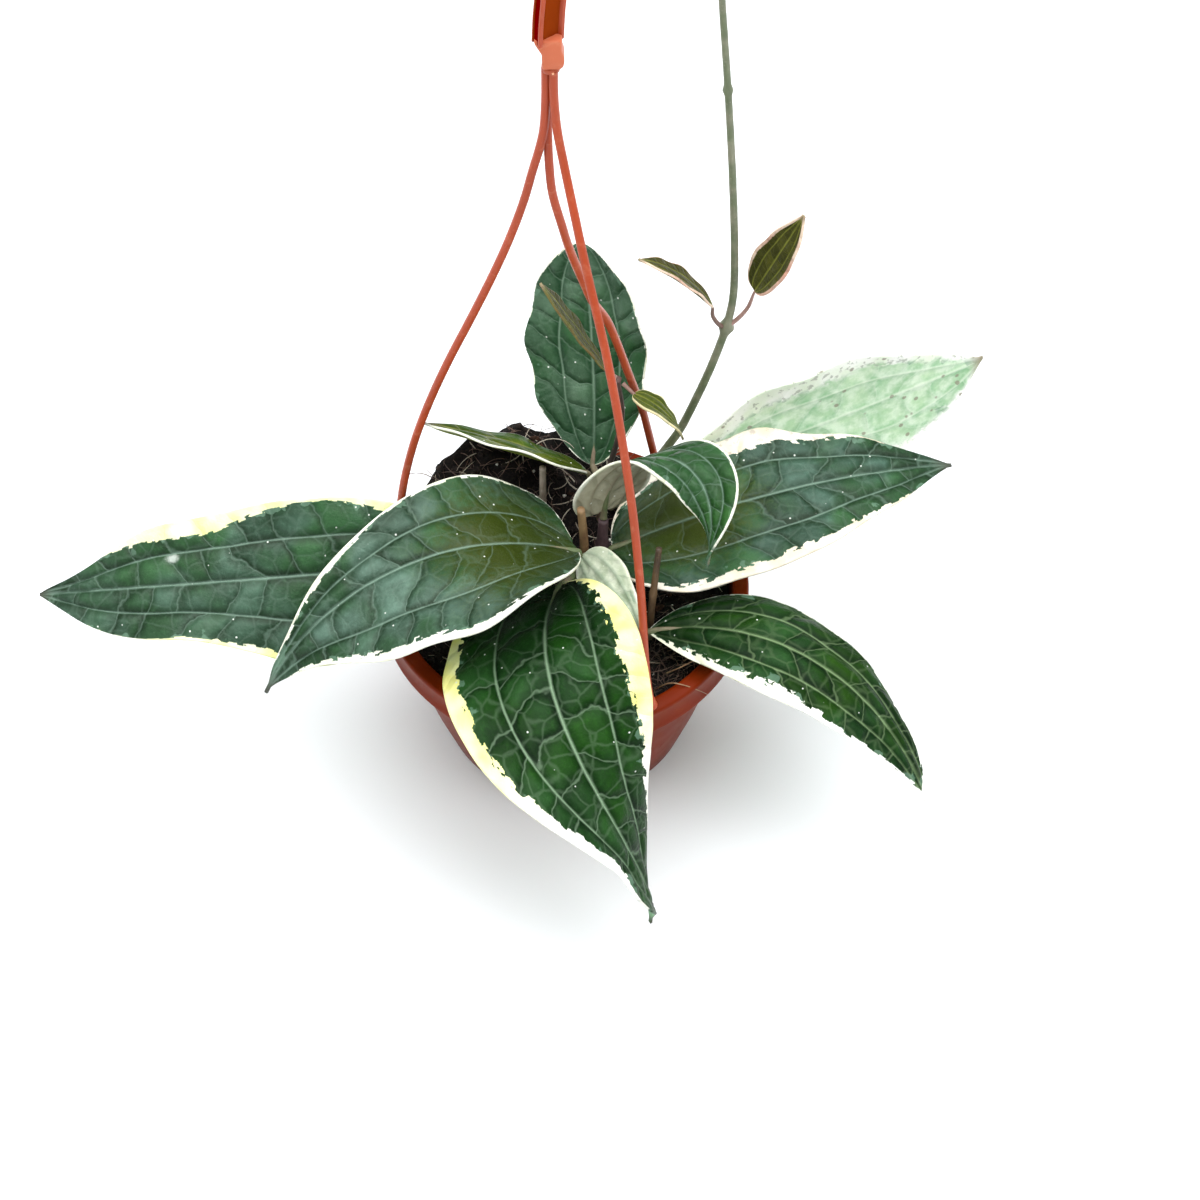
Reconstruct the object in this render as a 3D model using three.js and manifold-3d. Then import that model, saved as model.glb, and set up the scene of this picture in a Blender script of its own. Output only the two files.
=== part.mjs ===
// A variegated hoya in a small hanging pot, in millimetres, +Z up.
// The origin is the middle of the pot's flat base, on the surface that it stands on.
// +X is to the right and -Y is towards the viewer of the front view.
import * as THREE from "three";
import { mergeVertices } from "three/addons/utils/BufferGeometryUtils.js";
import Module from "manifold-3d";

const wasm = await Module();
wasm.setup();

// Driving dimensions of the pot.
const POT_HEIGHT = 66;
const RIM_RADIUS = 60;
const RIM_BAND = 10.5;
const BASE_RADIUS = 41;
const POT_WALL = 1.4;
const LIP_RADIUS = 54.6;
const POT_SIDES = 60;
const DRAIN_HOLE_RADIUS = 3.2;
const DRAIN_HOLE_CIRCLE = 27;
const DRAIN_HOLES = 6;

// Driving dimensions of the soil.
const SOIL_LEVEL = 58;
const SOIL_GAP = 0.3;
const MOUND_HEIGHT = 28;
const MOUND_ANGLE = 121;
const MOUND_SPREAD = 56;
const SOIL_LUMP = 1.6;

// Driving dimensions of the hanger.
const ARM_RADIUS = 1.35;
const HEAD_X = -1.2;
const HEAD_LEVEL = 294;
const HEAD_DEPTH = 5.2;
const PLUG_X = -1.9;
const PLUG_Y = 0.5;
const PLUG_RADIUS = 2.6;
const PLUG_HEIGHT = 2.4;
const FOOT_RADIUS = 57.4;
const PEG_RADIUS = 0.9;
const SEAT_GAP = 0.3;
const STRAP_X = -2.6;
const STRAP_LEAN = 1.5;
const STRAP_WIDTH = 8.4;
const STRAP_THICKNESS = 4;
const HOOK_RADIUS = 14;
const HOOK_LEVEL = 368;
const HOOK_AZIMUTH = 35;

// Driving dimensions of the plant.
const BLADE = 0.8;
const ROWS = 16;
const COLUMNS = 8;
const MARGIN_LEAST = 0.6;

const radians = THREE.MathUtils.degToRad;

// A closed geometry as a solid, with its shared corners merged.
function solid(geometry) {
  const g = geometry.clone();
  for (const name of Object.keys(g.attributes)) {
    if (name !== "position") g.deleteAttribute(name);
  }
  const merged = mergeVertices(g, 1e-3);
  return new wasm.Manifold(
    new wasm.Mesh({
      numProp: 3,
      vertProperties: merged.attributes.position.array,
      triVerts: new Uint32Array(merged.index.array),
    }),
  );
}

// A solid as a geometry with flat faces.
function geometryOf(body) {
  const m = body.getMesh();
  const corners = new Float32Array(m.numVert * 3);
  for (let i = 0; i < m.numVert; i++) {
    corners.set(m.vertProperties.subarray(i * m.numProp, i * m.numProp + 3), i * 3);
  }
  const g = new THREE.BufferGeometry();
  g.setAttribute("position", new THREE.BufferAttribute(corners, 3));
  g.setIndex(new THREE.BufferAttribute(m.triVerts, 1));
  const flat = g.toNonIndexed();
  flat.computeVertexNormals();
  return flat;
}

function union(bodies) {
  return bodies.reduce((sum, body) => sum.add(body));
}

const root = new THREE.Group();

function place(name, body, color, roughness) {
  const material = new THREE.MeshStandardMaterial({ color, roughness, metalness: 0 });
  const mesh = new THREE.Mesh(geometryOf(body), material);
  mesh.name = name;
  root.add(mesh);
  return mesh;
}

// A round tube along a curve through the given points: a cylinder bent along it, its radius easing
// from one end to the other.
function tube(points, startRadius, endRadius, sides = 8, rows = (points.length - 1) * 4) {
  const curve = new THREE.CatmullRomCurve3(points.map((p) => new THREE.Vector3(...p)));
  const frames = curve.computeFrenetFrames(rows, false);
  const g = new THREE.CylinderGeometry(1, 1, rows, sides, rows);
  const at = g.attributes.position;
  for (let i = 0; i < at.count; i++) {
    const row = Math.round(rows / 2 - at.getY(i));
    const radius = THREE.MathUtils.lerp(startRadius, endRadius, row / rows);
    const p = curve.getPointAt(row / rows);
    p.addScaledVector(frames.normals[row], at.getX(i) * radius);
    p.addScaledVector(frames.binormals[row], at.getZ(i) * radius);
    at.setXYZ(i, p.x, p.y, p.z);
  }
  return solid(g);
}

function ball(x, y, z, radius, squash = 1) {
  const g = new THREE.SphereGeometry(radius, 8, 6);
  g.scale(1, 1, squash);
  g.translate(x, y, z);
  return solid(g);
}

function rod(x, y, low, high, radius, sides = 16) {
  const g = new THREE.CylinderGeometry(radius, radius, high - low, sides);
  g.rotateX(Math.PI / 2);
  g.translate(x, y, (low + high) / 2);
  return solid(g);
}

function revolve(profile, sides) {
  const g = new THREE.LatheGeometry(profile.map(([r, z]) => new THREE.Vector2(r, z)), sides);
  g.rotateX(Math.PI / 2);
  return g;
}

// The pot: one moulded shell with a hollow rim band, and holes in its floor.
function buildPot() {
  const top = POT_HEIGHT;
  const band = top - RIM_BAND;
  const profile = [
    [0, 0],
    [BASE_RADIUS - 1, 0],
    [BASE_RADIUS, 1],
    [46.2, 18],
    [51.4, 38],
    [55.4, band],
    [56.2, top - POT_WALL],
    [RIM_RADIUS - POT_WALL, top - POT_WALL],
    [RIM_RADIUS - POT_WALL, band],
    [RIM_RADIUS, band],
    [RIM_RADIUS, top - 0.8],
    [RIM_RADIUS - 0.8, top],
    [LIP_RADIUS + 0.6, top],
    [LIP_RADIUS, top - 0.6],
    [54, band],
    [50, 38],
    [44.8, 18],
    [BASE_RADIUS - POT_WALL, 2.4],
    [BASE_RADIUS - POT_WALL - 1, 1.8],
    [0, 1.8],
  ];
  let pot = solid(revolve(profile, POT_SIDES));
  for (let i = 0; i < DRAIN_HOLES; i++) {
    const a = radians(30 + (i * 360) / DRAIN_HOLES);
    const x = DRAIN_HOLE_CIRCLE * Math.cos(a);
    const y = DRAIN_HOLE_CIRCLE * Math.sin(a);
    pot = pot.subtract(rod(x, y, -1, 4, DRAIN_HOLE_RADIUS, 12));
  }
  for (const arm of ARMS) {
    const [x, y] = footOf(arm);
    pot = pot.subtract(rod(x, y, top - 4, top + 1, PEG_RADIUS + SEAT_GAP, 12));
  }
  return pot;
}

// The height of the soil above the pot's base: low at the front right, heaped against the rear left rim.
function soilLevel(x, y) {
  const r = Math.hypot(x, y);
  const away = Math.abs(((THREE.MathUtils.radToDeg(Math.atan2(y, x)) - MOUND_ANGLE + 540) % 360) - 180);
  const heap = THREE.MathUtils.smoothstep(r, 6, 47) * Math.exp(-((away / MOUND_SPREAD) ** 2));
  const lumps = Math.sin(0.31 * x + 1.3) * Math.cos(0.37 * y) + 0.6 * Math.sin(0.53 * x - 0.44 * y);
  return SOIL_LEVEL + MOUND_HEIGHT * heap + SOIL_LUMP * lumps * (0.5 + heap);
}

// Where each stem stands in the soil: x, y, the radius of its hole, and how low the hole reaches.
const HOLES = [
  [6.5, 4, 2.3, 41],
  [12.6, 10.6, 2.8, 41],
  [12, 26, 2.4, 43],
  [28.5, 40.5, 2.1, 48],
  [27.5, -17, 2.0, 43],
  [-7.2, 22, 1.8, 49],
];

function buildSoil() {
  const inside = [
    [0, 1.8 + SOIL_GAP],
    [BASE_RADIUS - POT_WALL - 1.6, 1.8 + SOIL_GAP],
    [44.2, 18],
    [49.4, 38],
    [53.3, 54],
  ];
  const surface = [53.4, 51.5, 47, 41, 34, 27, 20, 13, 6, 0].map((r) => [r, SOIL_LEVEL]);
  const g = revolve([...inside, ...surface], 48);
  const at = g.attributes.position;
  for (let i = 0; i < at.count; i++) {
    if (at.getZ(i) < SOIL_LEVEL - 0.1) continue;
    at.setZ(i, soilLevel(at.getX(i), at.getY(i)));
  }
  let soil = solid(g);
  for (const [x, y, radius, low] of HOLES) {
    soil = soil.subtract(rod(x, y, low, soilLevel(x, y) + 12, radius, 12));
  }
  return soil;
}

// The three slack arms of the hanger. Each starts under the head along the points of `top`, then runs
// off towards `azimuth`: `way` holds its distance from the upright line beside the head at each height
// on the way down to the rim.
const ARMS = [
  {
    azimuth: 170,
    top: [[-3.3, 0.2, 291.5], [-3.5, 0.2, 279], [-4.2, 0.3, 268], [-5.4, 0.5, 261]],
    way: [[6.6, 251.5], [9.3, 239.2], [14.1, 222], [20, 204.2], [26.7, 185.7], [33.8, 166.6], [40.4, 147],
      [46.1, 127], [50.4, 106.7], [53.6, 84]],
  },
  {
    azimuth: 58,
    top: [[-3, 1.9, 291.5], [-3.1, 1.9, 276], [-3.1, 1.9, 266], [-2.9, 1.9, 255], [-2.1, 2, 242]],
    way: [[3.3, 226.6], [5.3, 219.5], [8.8, 209], [14.4, 194], [19, 182], [27.5, 165.5], [33, 151],
      [40.5, 129], [45, 116], [50, 101], [54.5, 84]],
  },
  {
    azimuth: -61.5,
    top: [[-1.2, -0.9, 291.5], [-1.2, -1.1, 284], [-1, -1.3, 278], [-0.3, -2, 269.5]],
    way: [[4.8, 260], [8.1, 252], [11.8, 243.3], [15.5, 234.5], [19.9, 225], [24.2, 216.5], [28.4, 208],
      [31.9, 199.7], [35.4, 190.5], [38.7, 180.3], [41.8, 169.7], [44.6, 159.4], [47.3, 148], [49.5, 136],
      [51.5, 123.8], [53.3, 110.7], [56.2, 84]],
  },
];

function footOf(arm) {
  return [FOOT_RADIUS * Math.cos(radians(arm.azimuth)), FOOT_RADIUS * Math.sin(radians(arm.azimuth))];
}

// The strap and hook above the head: a strip with raised edges that leans a little, runs up and bends over.
function buildStrap() {
  const top = HOOK_LEVEL - HOOK_RADIUS;
  const path = [];
  for (let z = HEAD_LEVEL + 6; z < top - 4; z += 8) {
    const lean = STRAP_LEAN * THREE.MathUtils.smoothstep(z, HEAD_LEVEL + 6, HEAD_LEVEL + 30);
    path.push(new THREE.Vector3(lean, 0, z));
  }
  for (let a = 180; a >= -24; a -= 17) {
    const x = STRAP_LEAN + HOOK_RADIUS * (1 + Math.cos(radians(a)));
    path.push(new THREE.Vector3(x, 0, top + HOOK_RADIUS * Math.sin(radians(a))));
  }
  const w = STRAP_WIDTH / 2;
  const t = STRAP_THICKNESS / 2;
  const lip = w - 1.4;
  const web = t - 1.1;
  const section = new THREE.Shape([
    [-w, -t], [-lip, -t], [-lip, -web], [lip, -web], [lip, -t], [w, -t],
    [w, t], [lip, t], [lip, web], [-lip, web], [-lip, t], [-w, t],
  ].map(([u, v]) => new THREE.Vector2(v, u)));
  const g = new THREE.ExtrudeGeometry(section, {
    steps: 26,
    extrudePath: new THREE.CatmullRomCurve3(path),
    bevelEnabled: false,
  });
  g.rotateZ(radians(HOOK_AZIMUTH));
  g.translate(STRAP_X, 0, 0);
  return solid(g);
}

// The head under the strap: a rounded block, straight below and wider to the left where the strap stands
// on it. The arms' plug sits against it.
function buildHead() {
  const low = HEAD_LEVEL - 1;
  const outline = [
    [-3.1, low], [1.9, low], [2.8, low + 0.9], [3.1, low + 2.2], [3, low + 4.5], [2.4, low + 6.4],
    [2.5, low + 10], [-4.6, low + 10], [-4.6, low + 8], [-3.1, low + 5.4],
  ];
  const bevel = 0.5;
  const g = new THREE.ExtrudeGeometry(new THREE.Shape(outline.map(([x, z]) => new THREE.Vector2(x, z))), {
    depth: HEAD_DEPTH - 2 * bevel,
    bevelThickness: bevel,
    bevelSize: bevel,
    bevelOffset: -bevel,
    bevelSegments: 1,
  });
  g.rotateX(Math.PI / 2);
  g.translate(HEAD_X, HEAD_DEPTH / 2 - bevel, 0);
  return solid(g);
}

// The three arms, joined by the plug at their top, each with a foot and a peg on the rim.
function buildArms() {
  const plugTop = HEAD_LEVEL - 1 - SEAT_GAP;
  const plug = rod(PLUG_X, PLUG_Y, plugTop - PLUG_HEIGHT, plugTop, PLUG_RADIUS);
  const pieces = [plug];
  for (const arm of ARMS) {
    const c = Math.cos(radians(arm.azimuth));
    const s = Math.sin(radians(arm.azimuth));
    const [x, y] = footOf(arm);
    const path = [...arm.top, ...arm.way.map(([r, z]) => [r * c - 1, r * s, z]), [x, y, POT_HEIGHT + 1.2]];
    pieces.push(tube(path, ARM_RADIUS, ARM_RADIUS, 8, 30));
    pieces.push(rod(x, y, POT_HEIGHT + SEAT_GAP, POT_HEIGHT + 2.2, 2.3, 12));
    pieces.push(rod(x, y, POT_HEIGHT - 4.5, POT_HEIGHT + 1, PEG_RADIUS, 12));
  }
  return union(pieces);
}

// Every leaf blade follows one rule. Its midrib starts at `base`, heads along `heading` at the slope
// `rise`, and bends by `turn` and `droop` on its way to the tip. The blade rolls about its midrib by
// `roll` plus `twist`, and is arched across by `cup`. Its outline is broadest at `widest` of its length,
// `tip` sets how drawn out the point is, `lean` and `side` make the two halves differ, and `trim` scales
// the width of the right and the left half at even steps from base to tip. `wave` is the
// height of the waves along the margin, and `edge` how far the margin itself runs in and out. `stalk` is
// the way of the leaf stalk up to the base.
const LEAVES = {
  leaf_left_rear: {
    base: [-36, -8, 86], heading: 196, turn: -34, rise: 11, droop: 38, length: 140, width: 52,
    widest: 0.32, tip: 0.8, roll: -48, twist: 18, cup: -5, lean: -0.04, side: 0.04,
    wave: 1.8, waves: 3.2, phase: 0.4, color: 0x2a5040,
    edge: 2.6, edgeWaves: 2.0, edgePhase: 3.2,
    stalk: [[4.1, 3.1, 65.6], [-8, 0, 74], [-24, -5, 81.5]], stalkRadius: 1.5,
    trim: [
      [1, 1, 1.08, 1.05, 0.99, 0.9, 0.87, 0.88, 0.93, 1.02, 1.07, 1.06, 0.94, 0.76, 0.58, 0.5, 0.6],
      [1, 1, 1, 1, 1, 1, 0.99, 0.97, 0.98, 0.97, 0.95, 0.95, 0.94, 0.97, 0.98, 0.9, 0.8],
    ],
  },
  leaf_left_front: {
    base: [4.5, -7.2, 90], heading: 190, turn: 21.5, rise: 35, droop: 98, length: 124, width: 68,
    widest: 0.26, tip: 1.55, roll: 24, twist: -62, cup: -20, lean: 0.09, side: 0.14,
    wave: 1.2, waves: 3.5, phase: 2.1, color: 0x2f5545,
    edge: 0.7, edgeWaves: 3.1, edgePhase: 0.5,
    stalk: [[4.6, 2.4, 74.5], [1.6, -2.4, 82.5]], stalkRadius: 1.5,
    trim: [
      [1, 1, 1, 1, 1, 1, 1, 1, 1, 1, 1, 1, 1, 1.05, 1.25, 1.7, 2],
      [1, 1, 1, 1, 1, 1, 1, 1, 1, 1, 1, 1, 1, 1, 1.08, 1.2, 1.2],
    ],
  },
  leaf_front: {
    base: [-1, -16, 84], heading: -110.5, turn: 105, rise: 27, droop: 121, length: 143, width: 66,
    widest: 0.28, tip: 1.3, roll: 36, twist: -72, cup: -5, lean: 0.04, side: -0.06,
    wave: 1.4, waves: 3.5, phase: 0.8, color: 0x1f4a2a,
    edge: 0.8, edgeWaves: 3.3, edgePhase: 1.2,
    stalk: [[5.4, 1.6, 71], [3.6, -5, 76], [1.2, -11, 81]], stalkRadius: 1.6,
    trim: [
      [1.14, 1.09, 1.03, 0.98, 0.96, 0.94, 0.95, 0.98, 0.97, 0.9, 0.82, 0.79, 0.84, 1.3, 1.6, 1.35, 0.95],
      [0.94, 0.97, 1.01, 1.02, 1, 0.97, 0.98, 1, 0.96, 0.89, 0.91, 1.06, 1.2, 1.1, 1.05, 1, 0.9],
    ],
  },
  leaf_right_front: {
    base: [27, -24, 70], heading: -4.8, turn: -48, rise: 26, droop: 85, length: 117, width: 39,
    widest: 0.4, tip: 1.28, roll: 6, twist: -23, cup: 20, lean: 0, side: 0.04,
    wave: 1.2, waves: 3.2, phase: 1.9, color: 0x1f4a2a,
    edge: 0.6, edgeWaves: 3.4, edgePhase: 0.3,
    stalk: [[27.3, -20.2, 63], [26.8, -22, 66.5]], stalkRadius: 1.4,
    trim: [
      [0.9, 0.94, 0.95, 0.96, 1, 1, 0.98, 0.99, 1.03, 1.07, 1.08, 1.06, 1.05, 1.08, 1.2, 1.5, 1.6],
      [1, 1.02, 0.99, 0.96, 0.92, 0.91, 0.93, 0.9, 0.84, 0.82, 0.83, 0.86, 0.87, 0.92, 1.1, 1.4, 1.6],
    ],
  },
  leaf_right: {
    base: [15.4, 7, 74], heading: 9.7, turn: 11.6, rise: 25.9, droop: 46.5, length: 119.6, width: 57,
    widest: 0.3, tip: 1.09, roll: -4, twist: 17, cup: -4, lean: 0.01, side: -0.06,
    wave: 1.3, waves: 4.2, phase: 0.2, color: 0x2f5545,
    edge: 0.8, edgeWaves: 3.6, edgePhase: 2.0,
    stalk: [[13.2, 7.2, 66.5], [13.6, 6.3, 70.5]], stalkRadius: 1.4,
  },
  leaf_right_rear: {
    base: [31, 39, 70.6], heading: 12, turn: 14.5, rise: 15.2, droop: 12, length: 117, width: 54,
    widest: 0.58, tip: 1.18, roll: -88, twist: -8, cup: 5, lean: 0.12, side: 0,
    wave: 1.2, waves: 3.5, phase: 1.1, color: 0xa9cfae,
    edge: 0.8, edgeWaves: 3.1, edgePhase: 0.9,
    stalk: [[14.4, 28.8, 69], [21, 33, 68.6], [27, 36.6, 69]], stalkRadius: 1.4,
  },
  leaf_rear_upright: {
    base: [9.2, 37.9, 79.5], heading: 85.5, turn: 20, rise: 50.7, droop: -16, length: 76, width: 42.5,
    widest: 0.53, tip: 0.6, roll: -12, twist: -32, cup: -14, lean: 0, side: 0.05,
    wave: 1.0, waves: 3.5, phase: 0.3, color: 0x2a5043,
    edge: 0.6, edgeWaves: 3.5, edgePhase: 1.5,
    stalk: [[10.6, 33.4, 79.8]], stalkRadius: 1.2,
  },
  leaf_rear_left: {
    base: [7.4, 26.6, 89], heading: 170.4, turn: -10.3, rise: 19.7, droop: 22.2, length: 56, width: 32,
    widest: 0.42, tip: 0.9, roll: 42.6, twist: 0.6, cup: -12, lean: 0.02, side: 0.03,
    wave: 0.6, waves: 2.5, phase: 0.6, color: 0x66752a,
    edge: 0.4, edgeWaves: 2.5, edgePhase: 0,
    stalk: [[9.5, 29.4, 81.7], [8.4, 27.6, 85.6]], stalkRadius: 1.1,
  },
  leaf_twisted: {
    base: [12.8, 13.2, 86], heading: 54, turn: -177, rise: 88, droop: 173, length: 79, width: 30,
    widest: 0.24, tip: 0.9, roll: -117, twist: 211, cup: 0, lean: 0.03, side: 0.1,
    wave: 0.5, waves: 3.5, phase: 0.3, color: 0x2c5638,
    edge: 0.3, edgeWaves: 3, edgePhase: 0,
    stalk: [[12.6, 12.6, 83]], stalkRadius: 1.2,
  },
  leaf_small_pale: {
    base: [5.7, -0.8, 80], heading: -56.8, turn: -3.7, rise: 12.5, droop: 24, length: 36.6, width: 17,
    widest: 0.37, tip: 0.92, roll: 202, twist: 12, cup: 16, lean: 0.06, side: 0.02,
    wave: 0.3, waves: 2.5, phase: 0, color: 0xb7c3b0,
    edge: 0.2, edgeWaves: 3, edgePhase: 0,
    stalk: [[9.2, 5.2, 74], [7.4, 1.6, 78]], stalkRadius: 1.0,
  },
  new_leaf_vine_left: {
    base: [46.1, 32.4, 162], heading: 187.3, turn: 11.8, rise: 59.6, droop: 22.9, length: 35.5, width: 13,
    widest: 0.41, tip: 0.9, roll: 11, twist: 0, cup: -21, lean: 0, side: 0,
    wave: 0.3, waves: 3, phase: 0, color: 0x4a4a24,
    edge: 0.2, edgeWaves: 3, edgePhase: 0,
    stalk: [[49.3, 36.8, 148.5], [46.6, 34.6, 155]], stalkRadius: 0.8,
  },
  new_leaf_vine_right: {
    base: [59.3, 35, 166], heading: -18.9, turn: 4, rise: 69.5, droop: 0, length: 39.4, width: 14,
    widest: 0.36, tip: 0.87, roll: 45, twist: 20.6, cup: -31, lean: -0.05, side: 0,
    wave: 0.3, waves: 3, phase: 1, color: 0x3c4420,
    edge: 0.2, edgeWaves: 3, edgePhase: 0,
    stalk: [[53.9, 37.4, 150.3], [57.4, 36.4, 157]], stalkRadius: 0.8,
  },
  new_leaf_shoot_left: {
    base: [13.4, 31.1, 134], heading: 195.2, turn: -9.4, rise: 63.7, droop: -2, length: 47.7, width: 14,
    widest: 0.43, tip: 0.9, roll: 2.8, twist: 0, cup: -16.6, lean: 0, side: 0,
    wave: 0.3, waves: 3, phase: 0, color: 0x4a4a20,
    edge: 0.2, edgeWaves: 3, edgePhase: 0,
    stalk: [[16.3, 33.4, 128.1]], stalkRadius: 0.7,
  },
  new_leaf_shoot_right: {
    base: [22.3, 30.7, 123], heading: -27.8, turn: 1.7, rise: 6.1, droop: 82.9, length: 23.5, width: 11.5,
    widest: 0.35, tip: 0.89, roll: -15, twist: -29, cup: 0, lean: 0, side: 0,
    wave: 0.3, waves: 3, phase: 0, color: 0x55622a,
    edge: 0.2, edgeWaves: 3, edgePhase: 0,
    stalk: [[18.75, 33.1, 125.4]], stalkRadius: 0.7,
  },
};

// Where a leaf blade is at t along its length and v across it, from -1 to 1, and which way it faces.
function leafSection(leaf, t) {
  const STEPS = 64;
  const centre = new THREE.Vector3(...leaf.base);
  const direction = (u) => {
    const h = radians(leaf.heading + leaf.turn * u);
    const e = radians(leaf.rise - leaf.droop * u);
    return new THREE.Vector3(Math.cos(e) * Math.cos(h), Math.cos(e) * Math.sin(h), Math.sin(e));
  };
  for (let i = 0; i < STEPS; i++) {
    centre.addScaledVector(direction(((i + 0.5) / STEPS) * t), (leaf.length * t) / STEPS);
  }
  const along = direction(t);
  const h = radians(leaf.heading + leaf.turn * t);
  const level = new THREE.Vector3(-Math.sin(h), Math.cos(h), 0);
  const up = new THREE.Vector3().crossVectors(along, level);
  const r = radians(leaf.roll + leaf.twist * t);
  const across = level.clone().multiplyScalar(Math.cos(r)).addScaledVector(up, Math.sin(r));
  const face = up.clone().multiplyScalar(Math.cos(r)).addScaledVector(level, -Math.sin(r));
  return { centre, across, face };
}

// The value at t, from 0 to 1, on a smooth line through evenly spaced values.
function between(values, t) {
  const at = t * (values.length - 1);
  const i = Math.min(Math.floor(at), values.length - 2);
  const [a, b, c, d] = [-1, 0, 1, 2].map((k) => values[THREE.MathUtils.clamp(i + k, 0, values.length - 1)]);
  const s = at - i;
  return b + 0.5 * s * (c - a + s * (2 * a - 5 * b + 4 * c - d + s * (3 * (b - c) + d - a)));
}

function halfWidth(leaf, t, sign) {
  const u = THREE.MathUtils.clamp(t, 1e-4, 1 - 1e-4);
  const m = leaf.widest + sign * leaf.lean;
  const base = (u / m) ** ((leaf.tip * m) / (1 - m));
  const tip = ((1 - u) / (1 - m)) ** leaf.tip;
  const trim = leaf.trim ? between(leaf.trim[sign < 0 ? 0 : 1], u) : 1;
  return (leaf.width / 2) * base * tip * (1 + sign * leaf.side) * trim;
}

function leafPoint(leaf, section, t, v, lift) {
  const sign = v > 0 ? 1 : -1;
  const half = halfWidth(leaf, t, sign);
  const uneven = leaf.edge * Math.sin(2 * Math.PI * leaf.edgeWaves * t + leaf.edgePhase + (v > 0 ? 0.7 : 0));
  const w = Math.max(half + uneven * Math.sin(Math.PI * t), MARGIN_LEAST);
  const k = radians(leaf.cup || 0.1);
  const ripple = Math.sin(2 * Math.PI * leaf.waves * t + leaf.phase + (v > 0 ? 1.3 : 0));
  const share = (2 * half) / leaf.width;
  const out = (w * Math.sin(k * v)) / k;
  const raise = (-w * (1 - Math.cos(k * v))) / k + leaf.wave * ripple * Math.abs(v) ** 2.5 * share;
  const p = section.centre.clone();
  p.addScaledVector(section.across, out + lift * Math.sin(k * v));
  p.addScaledVector(section.face, raise + lift * Math.cos(k * v));
  return p;
}

// A blade as one closed skin: the upper and lower faces are two alike grids, joined round the margin.
function buildBlade(leaf) {
  const small = leaf.length < 60;
  const rows = small ? 10 : ROWS;
  const columns = small ? 4 : COLUMNS;
  const upper = new THREE.PlaneGeometry(2, 1, columns, rows);
  const count = upper.attributes.position.count;
  const corners = new Float32Array(count * 6);
  for (let i = 0; i < count; i++) {
    const v = -upper.attributes.position.getX(i);
    const t = (upper.attributes.position.getY(i) + 0.5) * 0.998 + 0.001;
    const section = leafSection(leaf, t);
    leafPoint(leaf, section, t, v, BLADE / 2).toArray(corners, i * 3);
    leafPoint(leaf, section, t, v, -BLADE / 2).toArray(corners, (count + i) * 3);
  }
  const faces = [];
  const index = upper.index.array;
  for (let i = 0; i < index.length; i += 3) {
    faces.push(index[i], index[i + 1], index[i + 2]);
    faces.push(count + index[i], count + index[i + 2], count + index[i + 1]);
  }
  const at = (row, column) => row * (columns + 1) + column;
  const margin = [];
  for (let c = 0; c < columns; c++) margin.push(at(0, c));
  for (let r = 0; r < rows; r++) margin.push(at(r, columns));
  for (let c = columns; c > 0; c--) margin.push(at(rows, c));
  for (let r = rows; r > 0; r--) margin.push(at(r, 0));
  margin.forEach((a, i) => {
    const b = margin[(i + 1) % margin.length];
    faces.push(a, b, count + b, a, count + b, count + a);
  });
  const g = new THREE.BufferGeometry();
  g.setAttribute("position", new THREE.BufferAttribute(corners, 3));
  g.setIndex(faces);
  return solid(g);
}

function buildLeaf(leaf) {
  const neck = leaf.length * 0.07;
  const stalk = [...leaf.stalk, leaf.base, leafSection(leaf, neck / leaf.length).centre.toArray()];
  const r = leaf.stalkRadius;
  return union([buildBlade(leaf), tube(stalk, r, r * 0.6, 8, stalk.length * 2)]);
}

// Stems as the way of their middle line, their radius at each end, and the swollen nodes on them.
const STEMS = {
  stem_front: {
    path: [[6.5, 4, 42], [6.5, 4, 60], [6.4, 5, 70], [6.3, 6, 80], [5.4, 5.5, 96]],
    radii: [1.8, 1.3], nodes: [[6.4, 5, 70, 2.3]], color: 0x9c7a55,
  },
  stem_middle: {
    path: [[12.6, 10.6, 42], [12.6, 10.6, 60], [12.3, 11, 72], [12.6, 12.3, 82.4]],
    radii: [2.3, 1.7], nodes: [[12.4, 10.9, 71, 2.6]], color: 0x4a393e,
  },
  stem_rear: {
    path: [[12, 26, 44], [12, 26, 64], [11.4, 27.5, 76], [10.6, 31, 80]],
    radii: [1.9, 1.5], nodes: [[11.5, 27.3, 75, 2.2], [10.6, 31, 80, 2.0]], color: 0x6b5a4a,
  },
  young_shoot: {
    path: [[13.4, 31, 80.2], [15, 32, 88], [17, 33, 97], [18.6, 33.6, 111], [17, 34, 126.5]],
    radii: [1.0, 0.8], nodes: [[17, 34, 126.5, 1.5]], color: 0x5a4a44,
  },
  climbing_stem: {
    path: [[28.5, 40.5, 49], [28.5, 40.5, 62], [29.6, 41.2, 76], [34, 41, 86], [37.5, 40, 95], [42, 39, 110],
      [46.7, 38, 127.5], [51, 38, 146], [52.8, 38, 160], [52.7, 38, 178], [51.1, 38, 211],
      [48.6, 38, 247.5], [45.9, 38, 282], [44.6, 38, 300]],
    radii: [1.5, 1.0], nodes: [[51, 38, 146, 2.1], [48.6, 38, 247.5, 1.6]], color: 0x74805e,
  },
  cut_stem_right: {
    path: [[27.5, -17, 44], [27.5, -17, 60], [28, -17.4, 74], [30.2, -10.5, 96]],
    radii: [1.5, 1.0], nodes: [[28.5, -16.2, 80, 1.5]], color: 0x5c4632,
  },
  dry_stem_left: {
    path: [[-7.2, 22, 50], [-7.2, 22, 68], [-7, 23, 96]],
    radii: [1.3, 1.1], nodes: [], color: 0x9a8c78,
  },
};

function buildStem(stem) {
  const [start, end] = stem.radii;
  const rows = Math.max(6, stem.path.length * 2);
  const joints = stem.nodes.map(([x, y, z, r]) => ball(x, y, z, r, 0.8));
  return union([tube(stem.path, start, end, 8, rows), ...joints]);
}

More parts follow.
